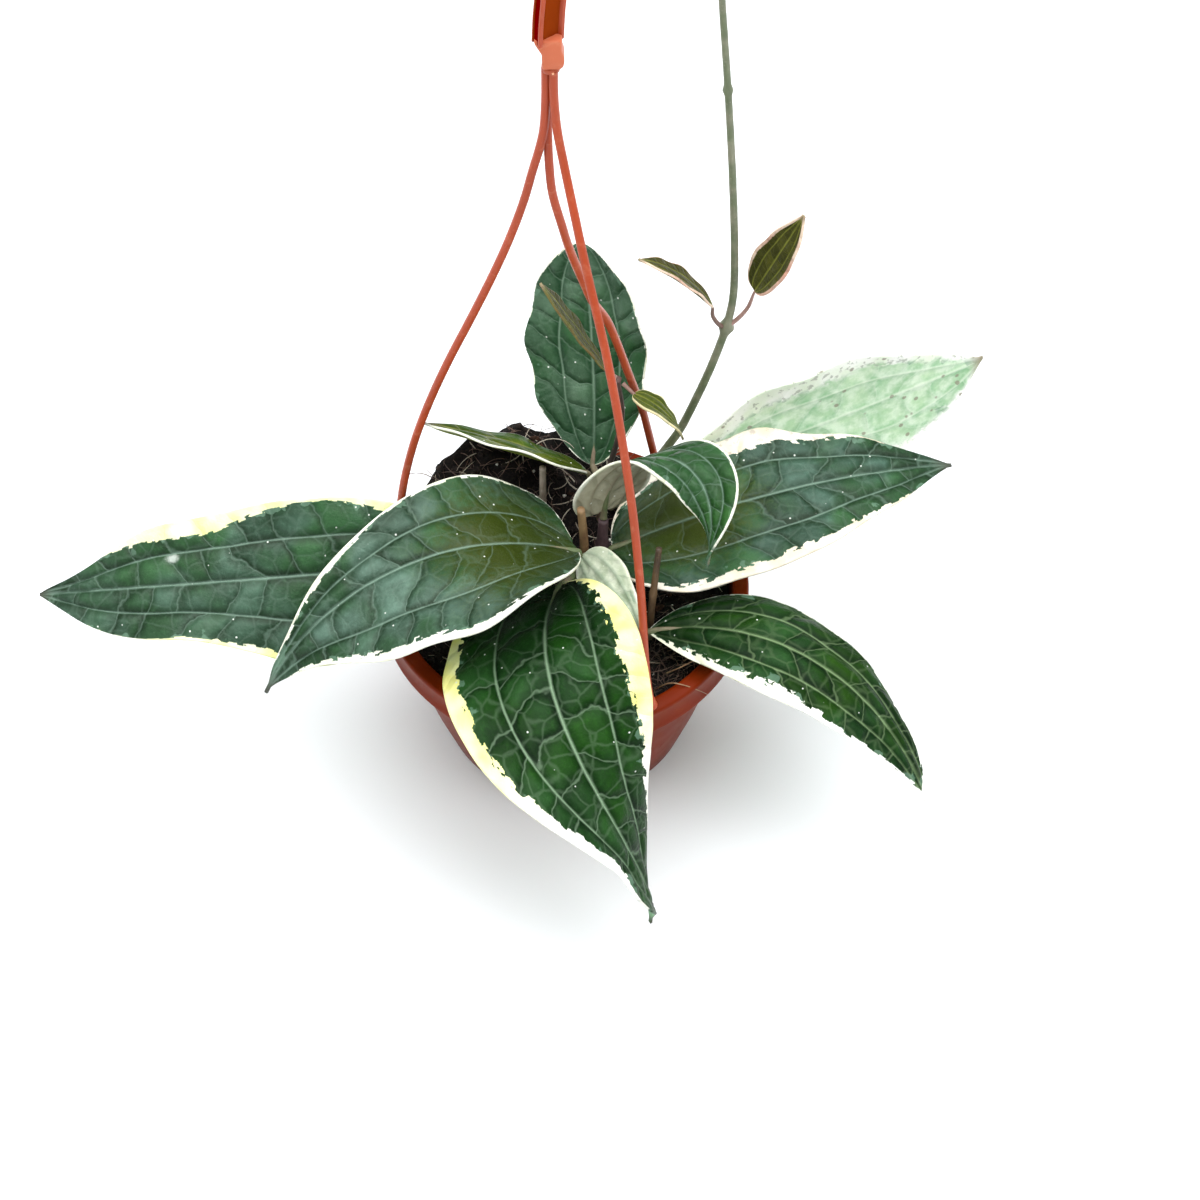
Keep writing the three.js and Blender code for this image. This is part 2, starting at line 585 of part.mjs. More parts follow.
place("pot", buildPot(), 0xa8452d, 0.45);
place("soil", buildSoil(), 0x1b1411, 0.95);
place("hanger_arms", buildArms(), 0xd0694e, 0.42);
place("hanger_hook", union([buildHead(), buildStrap()]), 0xd0694e, 0.42);
for (const [name, stem] of Object.entries(STEMS)) place(name, buildStem(stem), stem.color, 0.7);
for (const [name, leaf] of Object.entries(LEAVES)) place(name, buildLeaf(leaf), leaf.color, 0.5);

export default root;
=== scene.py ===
# A variegated hoya in a small hanging pot: the visual model, in metres, +Z up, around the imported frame.
import math
import random

import bmesh
import bpy
from mathutils import Matrix, Vector, noise


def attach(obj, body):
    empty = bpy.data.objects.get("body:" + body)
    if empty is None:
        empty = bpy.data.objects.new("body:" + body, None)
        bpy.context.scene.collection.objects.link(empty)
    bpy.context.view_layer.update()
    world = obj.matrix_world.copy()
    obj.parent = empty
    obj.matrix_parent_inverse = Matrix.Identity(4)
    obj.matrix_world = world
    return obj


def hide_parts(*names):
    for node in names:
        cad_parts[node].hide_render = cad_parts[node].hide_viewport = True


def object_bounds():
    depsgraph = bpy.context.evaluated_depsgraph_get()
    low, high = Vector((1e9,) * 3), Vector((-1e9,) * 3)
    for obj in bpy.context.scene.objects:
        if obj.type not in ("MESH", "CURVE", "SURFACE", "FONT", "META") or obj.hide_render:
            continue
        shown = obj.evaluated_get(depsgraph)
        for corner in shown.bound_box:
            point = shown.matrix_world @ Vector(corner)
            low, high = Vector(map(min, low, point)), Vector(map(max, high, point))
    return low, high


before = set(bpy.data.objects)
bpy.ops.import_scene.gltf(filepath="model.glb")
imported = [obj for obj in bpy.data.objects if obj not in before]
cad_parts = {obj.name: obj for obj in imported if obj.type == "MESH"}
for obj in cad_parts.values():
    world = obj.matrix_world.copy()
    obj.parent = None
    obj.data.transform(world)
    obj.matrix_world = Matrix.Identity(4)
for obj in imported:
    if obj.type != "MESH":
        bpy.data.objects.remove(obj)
CAD_BOX = [list(corner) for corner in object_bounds()]
BODY = "root"
MM = 0.001

# Pot, in millimetres, as in the frame.
POT_HEIGHT = 66
RIM_RADIUS = 60
RIM_BAND = 10.5
BASE_RADIUS = 41
POT_WALL = 1.4
POT_FLOOR = 1.8
LIP_RADIUS = 54.6
DRAIN_HOLE_RADIUS = 3.2
DRAIN_HOLE_CIRCLE = 27
DRAIN_HOLES = 6
DRAIN_HOLE_STEPS = 24
POT_STEPS = 144

# Soil.
SOIL_RADIUS = 53.4
SOIL_LEVEL = 58
MOUND_HEIGHT = 28
MOUND_ANGLE = 121
MOUND_SPREAD = 56
SOIL_LUMP = 1.6
SOIL_RINGS = 88
SOIL_STEPS = 300

# Hanger.
ARM_RADIUS = 1.35
HEAD_X = -1.2
HEAD_LEVEL = 294
HEAD_DEPTH = 5.2
HEAD_ROUNDING = 0.8
PLUG_X = -1.9
PLUG_Y = 0.5
PLUG_RADIUS = 2.6
STRAP_X = -2.6
STRAP_LEAN = 1.5
FOOT_RADIUS = 57.4
STRAP_WIDTH = 8.4
STRAP_THICKNESS = 4
HOOK_RADIUS = 14
HOOK_LEVEL = 368
HOOK_AZIMUTH = 35
STRAP_START = HEAD_LEVEL + 8
ARM_ROWS = 130
ARM_SIDES = 16
STRAP_ROWS = 96

# Stems and leaf stalks. Their skins lie a little inside the frame's solids.
STEM_SIDES = 18
STEM_INSIDE = 0.985
STALK_ROWS = 48
STALK_SIDES = 14
STALK_INSIDE = 0.97
CURVE_STEPS = 24

# Leaf blades.
BLADE = 0.8
BLADE_SKIN = 0.72
MARGIN_LEAST = 0.6
SMALL_LENGTH = 60
ROWS = 150
COLUMNS = 84
SMALL_ROWS = 70
SMALL_COLUMNS = 36
QUILT_HEIGHT = 1.6
MIDRIB_DEPTH = 0.28
SIDE_RIB_DEPTH = 0.2
LUMP_HEIGHT = 0.25
LUMP_SIZE = 22.0

# Camera: the photograph's, 52 degrees above the horizon.
CAMERA_ELEVATION = 52
CAMERA_DISTANCE = 1.1
CAMERA_TARGET = Vector((0.0115, 0, 0.056))
SENSOR = 36
IMAGE_SIZE = 1200
PIXELS_PER_MM = 3.05
FOCAL = SENSOR * PIXELS_PER_MM * (CAMERA_DISTANCE * 1000) / IMAGE_SIZE


# Small helpers.

def smoothstep(value, low, high):
    t = min(max((value - low) / (high - low), 0), 1)
    return t * t * (3 - 2 * t)


def between(values, t):
    """The value at t, from 0 to 1, on a smooth line through evenly spaced values."""
    last = len(values) - 1
    at = min(max(t, 0), 1) * last
    i = min(int(at), last - 1)
    a, b, c, d = [values[min(max(i + k, 0), last)] for k in (-1, 0, 1, 2)]
    s = at - i
    return b + 0.5 * s * (c - a + s * (2 * a - 5 * b + 4 * c - d + s * (3 * (b - c) + d - a)))


def rough(p, scale, octaves=3, seed=0.0):
    """Fractal noise of about -1 to 1 at p in millimetres, its largest lumps scale apart."""
    q = Vector(p) / scale + Vector((seed, seed * 1.7, -seed))
    return noise.fractal(q, 1.0, 2.1, octaves)


def new_bmesh():
    bm = bmesh.new()
    bm.loops.layers.uv.new("along")
    return bm


def finish_piece(name, bm, finishes, replaced=()):
    """The bmesh, in millimetres, as an object that rides on the plant's body."""
    bmesh.ops.scale(bm, vec=(MM, MM, MM), verts=bm.verts)
    mesh = bpy.data.meshes.new(name)
    bm.to_mesh(mesh)
    bm.free()
    for polygon in mesh.polygons:
        polygon.use_smooth = True
    for finish in finishes:
        mesh.materials.append(finish)
    piece = bpy.data.objects.new(name, mesh)
    bpy.context.scene.collection.objects.link(piece)
    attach(piece, BODY)
    if replaced:
        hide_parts(*replaced)
    return piece


def smooth_way(points, rows):
    """Evenly spaced points on a smooth curve through the given ones."""
    p = [Vector(q) for q in points]
    p = [p[0] * 2 - p[1], *p, p[-1] * 2 - p[-2]]
    fine = []
    for i in range(1, len(p) - 2):
        a, b, c = [max((p[i + k] - p[i + k - 1]).length ** 0.5, 1e-6) for k in range(3)]
        start = ((p[i] - p[i - 1]) / a - (p[i + 1] - p[i - 1]) / (a + b) + (p[i + 1] - p[i]) / b) * b
        end = ((p[i + 1] - p[i]) / b - (p[i + 2] - p[i]) / (b + c) + (p[i + 2] - p[i + 1]) / c) * b
        for k in range(CURVE_STEPS):
            t = k / CURVE_STEPS
            fine.append(
                p[i] * (2 * t**3 - 3 * t**2 + 1)
                + start * (t**3 - 2 * t**2 + t)
                + p[i + 1] * (3 * t**2 - 2 * t**3)
                + end * (t**3 - t**2)
            )
    fine.append(p[-2])
    lengths = [0]
    for q, r in zip(fine, fine[1:]):
        lengths.append(lengths[-1] + (r - q).length)
    way = []
    k = 0
    for i in range(rows + 1):
        wanted = lengths[-1] * i / rows
        while k < len(fine) - 2 and lengths[k + 1] < wanted:
            k += 1
        span = lengths[k + 1] - lengths[k]
        way.append(fine[k].lerp(fine[k + 1], (wanted - lengths[k]) / span if span else 0))
    return way


def carried_frames(way, first=None):
    """Two directions across the way at each of its points, carried along without twist."""
    frames = []
    side = first
    for i in range(len(way)):
        ahead = (way[min(i + 1, len(way) - 1)] - way[max(i - 1, 0)]).normalized()
        if side is None:
            side = ahead.orthogonal()
        side = (side - ahead * side.dot(ahead)).normalized()
        frames.append((side.copy(), ahead.cross(side)))
    return frames


def bar(bm, way, section, sides, first=None):
    """A bar along a way: a grid rolled up along it. section(row share, side share) is a point across it."""
    rows = len(way) - 1
    frames = carried_frames(way, first)
    made = bmesh.ops.create_grid(bm, x_segments=sides, y_segments=rows, size=1, calc_uvs=True)
    for v in made["verts"]:
        across = (v.co.x + 1) / 2
        row = round((v.co.y + 1) / 2 * rows)
        u, w = section(row / rows, across % 1.0)
        v.co = way[row] + frames[row][0] * u + frames[row][1] * w
    bmesh.ops.remove_doubles(bm, verts=made["verts"], dist=1e-5)


def close_ends(bm):
    """Caps every open end, and turns all faces outwards."""
    bmesh.ops.holes_fill(bm, edges=[e for e in bm.edges if e.is_boundary], sides=0)
    bmesh.ops.recalc_face_normals(bm, faces=bm.faces)


def round_section(radius_at):
    """A round section whose radius is given by the row share and the side share."""

    def section(row, side):
        angle = side * math.tau
        r = radius_at(row, side)
        return r * math.cos(angle), r * math.sin(angle)

    return section


def spun(bm, profile, steps):
    """Turns a profile of (radius, height) points about the upright axis."""
    corners = [bm.verts.new((r, 0, z)) for r, z in profile]
    edges = [bm.edges.new(pair) for pair in zip(corners, corners[1:])]
    shape, centre, upright = corners + edges, (0, 0, 0), (0, 0, 1)
    bmesh.ops.spin(bm, geom=shape, cent=centre, axis=upright, angle=math.tau, steps=steps, use_merge=True)
    bmesh.ops.remove_doubles(bm, verts=bm.verts, dist=1e-4)


# Shader helpers.

def group_of(name, inputs, outputs):
    """An empty shader group with named inputs (kind, default) and outputs (kind)."""
    group = bpy.data.node_groups.new(name, "ShaderNodeTree")
    for label, (kind, value) in inputs.items():
        socket = group.interface.new_socket(label, in_out="INPUT", socket_type="NodeSocket" + kind)
        if value is not None:
            socket.default_value = value
    for label, kind in outputs.items():
        group.interface.new_socket(label, in_out="OUTPUT", socket_type="NodeSocket" + kind)
    sheet = Nodes(group)
    sheet.start = group.nodes.new("NodeGroupInput").outputs
    sheet.end = group.nodes.new("NodeGroupOutput").inputs
    return group, sheet


class Nodes:
    """Short ways to place and join shader nodes."""

    def __init__(self, tree):
        self.tree = tree

    def join(self, source, target):
        if hasattr(source, "is_output"):
            self.tree.links.new(source, target)
        else:
            target.default_value = source

    def add(self, kind, **settings):
        node = self.tree.nodes.new("ShaderNode" + kind)
        for label, value in settings.items():
            setattr(node, label, value)
        return node

    def math(self, operation, *given, clamp=False):
        node = self.add("Math", operation=operation, use_clamp=clamp)
        for value, socket in zip(given, node.inputs):
            self.join(value, socket)
        return node.outputs[0]

    def times(self, a, b):
        return self.math("MULTIPLY", a, b)

    def plus(self, a, b, clamp=False):
        return self.math("ADD", a, b, clamp=clamp)

    def less(self, a, b):
        return self.math("SUBTRACT", a, b)

    def vector(self, operation, a, b=None, scale=None):
        node = self.add("VectorMath", operation=operation)
        self.join(a, node.inputs[0])
        if b is not None:
            self.join(b, node.inputs[1])
        if scale is not None:
            self.join(scale, node.inputs["Scale"])
        return node.outputs[0]

    def step(self, value, low, high, start=0.0, end=1.0):
        """value eased from low to high onto start to end."""
        node = self.add("MapRange", interpolation_type="SMOOTHSTEP")
        labels = ("Value", "From Min", "From Max", "To Min", "To Max")
        for label, given in zip(labels, (value, low, high, start, end)):
            self.join(given, node.inputs[label])
        return node.outputs[0]

    def mix(self, share, a, b):
        node = self.add("Mix", data_type="RGBA")
        self.join(share, node.inputs[0])
        self.join(a, node.inputs[6])
        self.join(b, node.inputs[7])
        return node.outputs[2]

    def noise(self, place, scale, detail=3.0, roughness=0.55, distortion=0.0):
        node = self.add("TexNoise")
        self.join(place, node.inputs["Vector"])
        labels = ("Scale", "Detail", "Roughness", "Distortion")
        for label, given in zip(labels, (scale, detail, roughness, distortion)):
            self.join(given, node.inputs[label])
        return node.outputs["Fac"]

    def warped(self, place, scale, reach):
        """place pushed about by up to half of reach, in lumps of 1 / scale."""
        node = self.add("TexNoise")
        self.join(place, node.inputs["Vector"])
        node.inputs["Scale"].default_value = scale
        push = self.vector("SUBTRACT", node.outputs["Color"], (0.5, 0.5, 0.5))
        return self.vector("ADD", place, self.vector("SCALE", push, scale=reach))

    def cells(self, place, scale, feature="F1"):
        """What random cells give: Distance, and Color where the feature has it."""
        node = self.add("TexVoronoi", feature=feature)
        self.join(place, node.inputs["Vector"])
        self.join(scale, node.inputs["Scale"])
        return node.outputs

    def parts(self, vector):
        node = self.add("SeparateXYZ")
        self.join(vector, node.inputs[0])
        return node.outputs

    def attribute(self, name):
        return self.add("Attribute", attribute_name=name).outputs["Vector"]

    def place(self):
        """Where a point is on its object, in metres."""
        return self.add("TexCoord").outputs["Object"]

    def use(self, group, **given):
        node = self.add("Group")
        node.node_tree = group
        for label, value in given.items():
            self.join(value, node.inputs[label.replace("_", " ")])
        return node.outputs

    def bump(self, height, strength, distance):
        node = self.add("Bump")
        node.inputs["Strength"].default_value = strength
        node.inputs["Distance"].default_value = distance
        self.join(height, node.inputs["Height"])
        return node.outputs["Normal"]

    def tinted(self, color, value):
        """color made darker or lighter by value."""
        node = self.add("HueSaturation")
        self.join(color, node.inputs["Color"])
        self.join(value, node.inputs["Value"])
        return node.outputs[0]


def finish_of(name, **sockets):
    """A material, its nodes and its Principled shader with plain values set on the shader's own sockets."""
    material = bpy.data.materials.new(name)
    material.use_nodes = True
    material.node_tree.nodes.clear()
    n = Nodes(material.node_tree)
    shader = n.add("BsdfPrincipled")
    out = n.add("OutputMaterial")
    n.tree.links.new(shader.outputs[0], out.inputs[0])
    for label, value in sockets.items():
        shader.inputs[label.replace("_", " ")].default_value = value
    return material, n, shader


def linear(c):
    """A colour share of a screen, from 0 to 1, as a share of light."""
    return c / 12.92 if c <= 0.04045 else ((c + 0.055) / 1.055) ** 2.4


def color(code):
    """A web colour such as "a8432b" as linear red, green, blue and alpha."""
    return (*[linear(int(code[i:i + 2], 16) / 255) for i in (0, 2, 4)], 1)


# Shader groups that several finishes share. Leaf blades carry these attributes, in millimetres:
# ribs = across from the midrib, across from the side rib, cross vein count;
# edge = in from the margin, width of the pale margin, share of the olive flush;
# blade = along, across, share of the blotches.

def rib_group():
    """Ribs, the cross veins between them, the swelling of the flesh between, and a tone for each field; the
    flesh's colour takes the swelling and the tone as painted sheen and painted shade.
    """
    group, n = group_of(
        "leaf ribs and veins",
        {"Width": ("Float", 0.5), "Cells": ("Float", 0.12)},
        {"Ribs": "Float", "Net": "Float", "Pillow": "Float", "Tone": "Float"},
    )
    ribs = n.parts(n.attribute("ribs"))
    blade = n.attribute("blade")
    mid = n.math("ABSOLUTE", ribs[0])
    side = n.math("ABSOLUTE", ribs[1])
    wander = n.math("MULTIPLY_ADD", n.noise(blade, 0.25, 2.0), 0.5, -0.25)
    on_mid = n.step(n.plus(mid, wander), 0.0, n.times(n.start["Width"], 1.6), 1.0, 0.0)
    on_side = n.step(n.plus(side, wander), 0.0, n.times(n.start["Width"], 1.2), 0.85, 0.0)
    n.join(n.math("MAXIMUM", on_mid, on_side), n.end["Ribs"])
    shift = n.math("MULTIPLY_ADD", n.noise(blade, 0.16, 2.0), 0.4, -0.2)
    count = n.plus(ribs[2], shift)
    phase = n.math("ABSOLUTE", n.less(n.math("FRACT", count), 0.5))
    cross = n.step(phase, 0.0, 0.055, 0.56, 0.0)
    cell = n.cells(n.warped(blade, 0.12, 5.0), n.start["Cells"], "DISTANCE_TO_EDGE")["Distance"]
    link = n.step(cell, 0.0, 0.08, 0.2, 0.0)
    n.join(n.math("MAXIMUM", cross, link), n.end["Net"])
    clear = n.times(n.step(mid, 0.2, 3.6), n.step(side, 0.2, 3.2))
    clear = n.times(clear, n.step(phase, 0.0, 0.26, 0.1, 1.0))
    n.join(n.times(clear, n.step(cell, 0.0, 0.3, 0.75, 1.0)), n.end["Pillow"])
    field = n.add("CombineXYZ")
    n.join(n.math("FLOOR", n.plus(count, 0.5)), field.inputs[0])
    n.join(n.math("GREATER_THAN", ribs[1], 0.0), field.inputs[1])
    n.join(n.math("GREATER_THAN", ribs[0], 0.0), field.inputs[2])
    tone = n.add("TexWhiteNoise", noise_dimensions="3D")
    n.join(field.outputs[0], tone.inputs["Vector"])
    n.join(tone.outputs["Value"], n.end["Tone"])
    return group


def margin_group():
    """The pale margin with its ragged inner edge, and the duller halo inside it."""
    group, n = group_of(
        "ragged pale margin",
        {"Ragged": ("Float", 2.0), "Shift": ("Float", 0.0), "Soft": ("Float", 0.15)},
        {"Margin": "Float", "Halo": "Float"},
    )
    edge = n.parts(n.attribute("edge"))
    blade = n.vector("ADD", n.attribute("blade"), n.start["Shift"])
    tooth = n.cells(n.warped(blade, 0.5, 2.0), 0.36)["Color"]
    step_at = n.parts(tooth)[0]
    fray = n.noise(blade, 1.1, 4.0, 0.65)
    ragged = n.plus(n.less(step_at, 0.5), n.times(n.less(fray, 0.5), 0.6))
    ragged = n.times(ragged, n.start["Ragged"])
    ragged = n.times(ragged, n.step(edge[1], 0.0, 2.5, 0.2, 1.0))
    depth = n.less(edge[0], n.plus(edge[1], ragged))
    n.join(n.step(depth, n.times(n.start["Soft"], -1.0), n.start["Soft"], 1.0, 0.0), n.end["Margin"])
    patch = n.noise(blade, 0.16, 2.0)
    halo_width = n.times(n.step(patch, 0.52, 0.72), 2.6)
    n.join(n.step(n.less(depth, halo_width), -0.3, 0.4, 1.0, 0.0), n.end["Halo"])
    return group


def speck_group():
    """Small pale specks, one in some of the cells."""
    given = {"Share": ("Float", 0.2), "Size": ("Float", 0.12)}
    group, n = group_of("white specks", given, {"Specks": "Float"})
    spots = n.cells(n.attribute("blade"), 0.34)
    chosen = n.math("LESS_THAN", n.parts(spots["Color"])[1], n.start["Share"])
    small = n.step(spots["Distance"], n.times(n.start["Size"], 0.6), n.start["Size"], 1.0, 0.0)
    n.join(n.times(chosen, small), n.end["Specks"])
    return group


def plastic_group():
    """Moulded plastic: cloudy colour with a little dust, uneven gloss, grain and fine scratches."""
    group, n = group_of(
        "moulded plastic wear",
        {
            "Scale": ("Float", 1.0),
            "Color": ("Color", (0.5, 0.1, 0.05, 1)),
            "Dust": ("Color", (0.6, 0.5, 0.4, 1)),
        },
        {"Color": "Color", "Roughness": "Float", "Height": "Float"},
    )
    place = n.vector("SCALE", n.place(), scale=n.start["Scale"])
    cloud = n.noise(place, 38.0, 3.0)
    flow = n.noise(place, 160.0, 4.0, 0.6, 0.6)
    grain = n.noise(place, 1500.0, 2.0)
    scratch_place = n.vector("MULTIPLY", place, (900.0, 900.0, 60.0))
    scratch = n.step(n.noise(scratch_place, 1.0, 2.0), 0.62, 0.78)
    clouded = n.tinted(n.start["Color"], n.math("MULTIPLY_ADD", cloud, 0.42, 0.8))
    dusty = n.times(n.step(flow, 0.52, 0.78), 0.22)
    n.join(n.mix(dusty, clouded, n.start["Dust"]), n.end["Color"])
    rough_value = n.math("MULTIPLY_ADD", flow, 0.22, 0.27)
    n.join(n.plus(rough_value, n.times(scratch, 0.12)), n.end["Roughness"])
    n.join(n.less(n.times(grain, 0.5), n.times(scratch, 0.3)), n.end["Height"])
    return group


def bark_group():
    """Stem skin: a cloudy flush, fine streaks along the stem and small pale dots."""
    group, n = group_of(
        "stem skin",
        {
            "Base": ("Color", (0.2, 0.2, 0.1, 1)),
            "Flush": ("Color", (0.4, 0.3, 0.25, 1)),
            "Amount": ("Float", 0.5),
        },
        {"Color": "Color", "Height": "Float"},
    )
    place = n.place()
    long_place = n.vector("MULTIPLY", place, (1.0, 1.0, 0.3))
    streak = n.noise(long_place, 620.0, 3.0)
    cloud = n.noise(place, 95.0, 3.0)
    dots = n.step(n.cells(place, 620.0)["Distance"], 0.12, 0.24, 1.0, 0.0)
    flushed = n.times(n.step(cloud, 0.38, 0.66), n.start["Amount"])
    tone = n.mix(flushed, n.start["Base"], n.start["Flush"])
    lighter = n.mix(n.times(dots, 0.35), tone, n.start["Flush"])
    n.join(n.tinted(lighter, n.math("MULTIPLY_ADD", streak, 0.7, 0.66)), n.end["Color"])
    n.join(n.plus(streak, n.times(dots, 0.4)), n.end["Height"])
    return group


RIBS = rib_group()
MARGIN = margin_group()
SPECKS = speck_group()
PLASTIC = plastic_group()
BARK = bark_group()
UPPER_KEYS = ("deep", "light", "vein")
UNDER_KEYS = ("under", "under_light", "under_vein")
HALO_COLOR = "6d8f78"


def plastic_finish(name, base, dust, scale=1.0, gloss=0.0, soft=0.0, shine=0.08):
    """Plastic in two colours; gloss is its coat and soft the share of light that passes into it."""
    material, n, shader = finish_of(
        name,
        Specular_IOR_Level=shine,
        Coat_Roughness=0.25,
        Coat_Weight=gloss,
        Subsurface_Weight=soft,
    )
    shader.inputs["Subsurface Radius"].default_value = (1.0, 0.35, 0.2)
    shader.inputs["Subsurface Scale"].default_value = 0.002
    wear = n.use(PLASTIC, Scale=scale, Color=color(base), Dust=color(dust))
    n.join(wear["Color"], shader.inputs["Base Color"])
    n.join(wear["Roughness"], shader.inputs["Roughness"])
    n.join(n.bump(wear["Height"], 0.15, 0.0002), shader.inputs["Normal"])
    return material


def stem_finish(name, base, flush, amount=0.5):
    material, n, shader = finish_of(name, Roughness=0.55)
    skin = n.use(BARK, Base=color(base), Flush=color(flush), Amount=amount)
    n.join(skin["Color"], shader.inputs["Base Color"])
    n.join(n.bump(skin["Height"], 0.4, 0.0003), shader.inputs["Normal"])
    return material


def leaf_flesh(n, look, along, ribs, fleck, under):
    """The green of a blade: painted sheen on the swellings and painted shade by the veins, mottles, dark rim,
    flush, veins and painted shade towards the base.
    """
    blade = n.attribute("blade")
    edge = n.parts(n.attribute("edge"))
    deep, light, vein = [color(look[key]) for key in (UNDER_KEYS if under else UPPER_KEYS)]
    # Painted sheen and shade: the middle of each quilted swelling, and some fields and broad patches more
    # than others, lean towards light, and the flesh beside the veins towards deep.
    painted_sheen = n.math("MULTIPLY_ADD", ribs["Pillow"], 0.5, n.times(ribs["Tone"], 0.5))
    painted_sheen = n.times(painted_sheen, n.step(n.noise(blade, 0.06, 3.0), 0.3, 0.65, 0.6, 1.15))
    painted_sheen = n.plus(painted_sheen, n.step(fleck, 0.45, 0.8, -0.08, 0.25), clamp=True)
    if not under:
        patches = n.step(n.noise(blade, 0.035, 2.0), 0.42, 0.6)
        light = n.mix(patches, light, color(look["patch"] or look["light"]))
    flesh = n.mix(painted_sheen, deep, light)
    if under and look["mottle"]:
        mottled = n.times(n.step(n.noise(blade, 0.2, 4.0, 0.6), 0.36, 0.68), look["mottle"])
        flesh = n.mix(mottled, flesh, color(look["mottle_color"]))
    flesh = n.mix(n.step(edge[0], 2.0, 8.0, 0.25, 0.0), flesh, deep)
    flushed = n.plus(edge[2], n.math("MULTIPLY_ADD", fleck, 0.9, -0.45))
    flesh = n.mix(n.step(flushed, 0.15, 0.85, 0.0, look["flush_share"]), flesh, color(look["flush"]))
    flesh = n.mix(n.times(ribs["Net"], look["net"]), flesh, vein)
    flesh = n.mix(n.times(ribs["Ribs"], look["ribs"]), flesh, vein)
    # Painted shade: the blade darkens towards deep near its base, where the leaves around it shade it.
    near = n.step(along, 0.03 * look["length"], 0.36 * look["length"], look["painted_base_shade"], 0.0)
    return n.mix(near, flesh, deep)


def leaf_cream(n, look, along):
    """The pale margin's colour: two creams in patches, a third towards the tip, and darker blotches."""
    blade = n.attribute("blade")
    patches = n.step(n.noise(blade, 0.07, 2.0), 0.4, 0.66)
    cream = n.mix(patches, color(look["cream"]), color(look["cream_deep"]))
    if look["cream_far"]:
        far = n.step(along, 0.42 * look["length"], 0.62 * look["length"])
        cream = n.mix(far, cream, color(look["cream_far"]))
    blotched = n.times(n.step(n.noise(blade, 0.42, 3.0, 0.6), 0.54, 0.64), n.parts(blade)[2])
    return n.mix(blotched, cream, color(look["blotch"]))


def leaf_finish(name, look, under=False):
    """The skin of one side of a leaf: flesh, ragged pale margin, specks, a dark tip and a quilted relief."""
    material, n, shader = finish_of(name, Specular_IOR_Level=look["shine"])
    blade = n.attribute("blade")
    along = n.parts(blade)[0]
    ribs = n.use(RIBS, Width=look["rib"], Cells=look["cells"])
    soft = look["under_soft" if under else "soft"]
    margin = n.use(MARGIN, Ragged=look["ragged"], Shift=look["shift"], Soft=soft)
    specks = n.use(SPECKS, Share=look["specks"], Size=look["speck_size"])
    fleck = n.noise(blade, 0.5, 4.0, 0.65)
    flesh = leaf_flesh(n, look, along, ribs, fleck, under)
    flesh = n.mix(n.times(margin["Halo"], look["halo"]), flesh, color(HALO_COLOR))
    tone = n.mix(margin["Margin"], flesh, leaf_cream(n, look, along))
    spotted = n.times(specks["Specks"], 0.8)
    tone = n.mix(spotted, tone, color(look["speck"]))
    tip_from, tip_to = look["length"] - look["tip_reach"], look["length"] - 0.5
    tone = n.mix(n.step(along, tip_from, tip_to, 0.0, look["tip_dark"]), tone, color(look["tip_color"]))
    n.join(tone, shader.inputs["Base Color"])
    gloss = n.math("MULTIPLY_ADD", fleck, 0.24, 0.5 if under else 0.26)
    n.join(n.plus(gloss, n.times(spotted, 0.2)), shader.inputs["Roughness"])
    veins = n.math("MAXIMUM", ribs["Ribs"], n.times(ribs["Net"], 0.8))
    raised = n.math("MULTIPLY_ADD", ribs["Pillow"], 1.3, n.times(veins, -0.7))
    skin = n.times(raised, -0.6 if under else 1.0)
    skin = n.plus(skin, n.times(n.noise(blade, 1.2, 4.0), 0.6))
    skin = n.plus(skin, n.times(margin["Margin"], -0.25))
    n.join(n.bump(skin, 0.7, 0.00055), shader.inputs["Normal"])
    return material


# The soil's height: low at the front right, heaped against the rear left rim, as in the frame.
def soil_level(x, y):
    r = math.hypot(x, y)
    away = abs((math.degrees(math.atan2(y, x)) - MOUND_ANGLE + 540) % 360 - 180)
    heap = smoothstep(r, 6, 47) * math.exp(-((away / MOUND_SPREAD) ** 2))
    lumps = math.sin(0.31 * x + 1.3) * math.cos(0.37 * y) + 0.6 * math.sin(0.53 * x - 0.44 * y)
    return SOIL_LEVEL + MOUND_HEIGHT * heap + SOIL_LUMP * lumps * (0.5 + heap)


def crumbled_level(x, y):
    """The soil's height with its crumbs."""
    p = (x, y, 0)
    crumbs = 0.9 * rough(p, 7.0, 3, 3.1) + 0.75 * abs(rough(p, 2.6, 3, 8.4)) + 0.3 * rough(p, 1.1, 2, 1.2)
    return soil_level(x, y) + crumbs


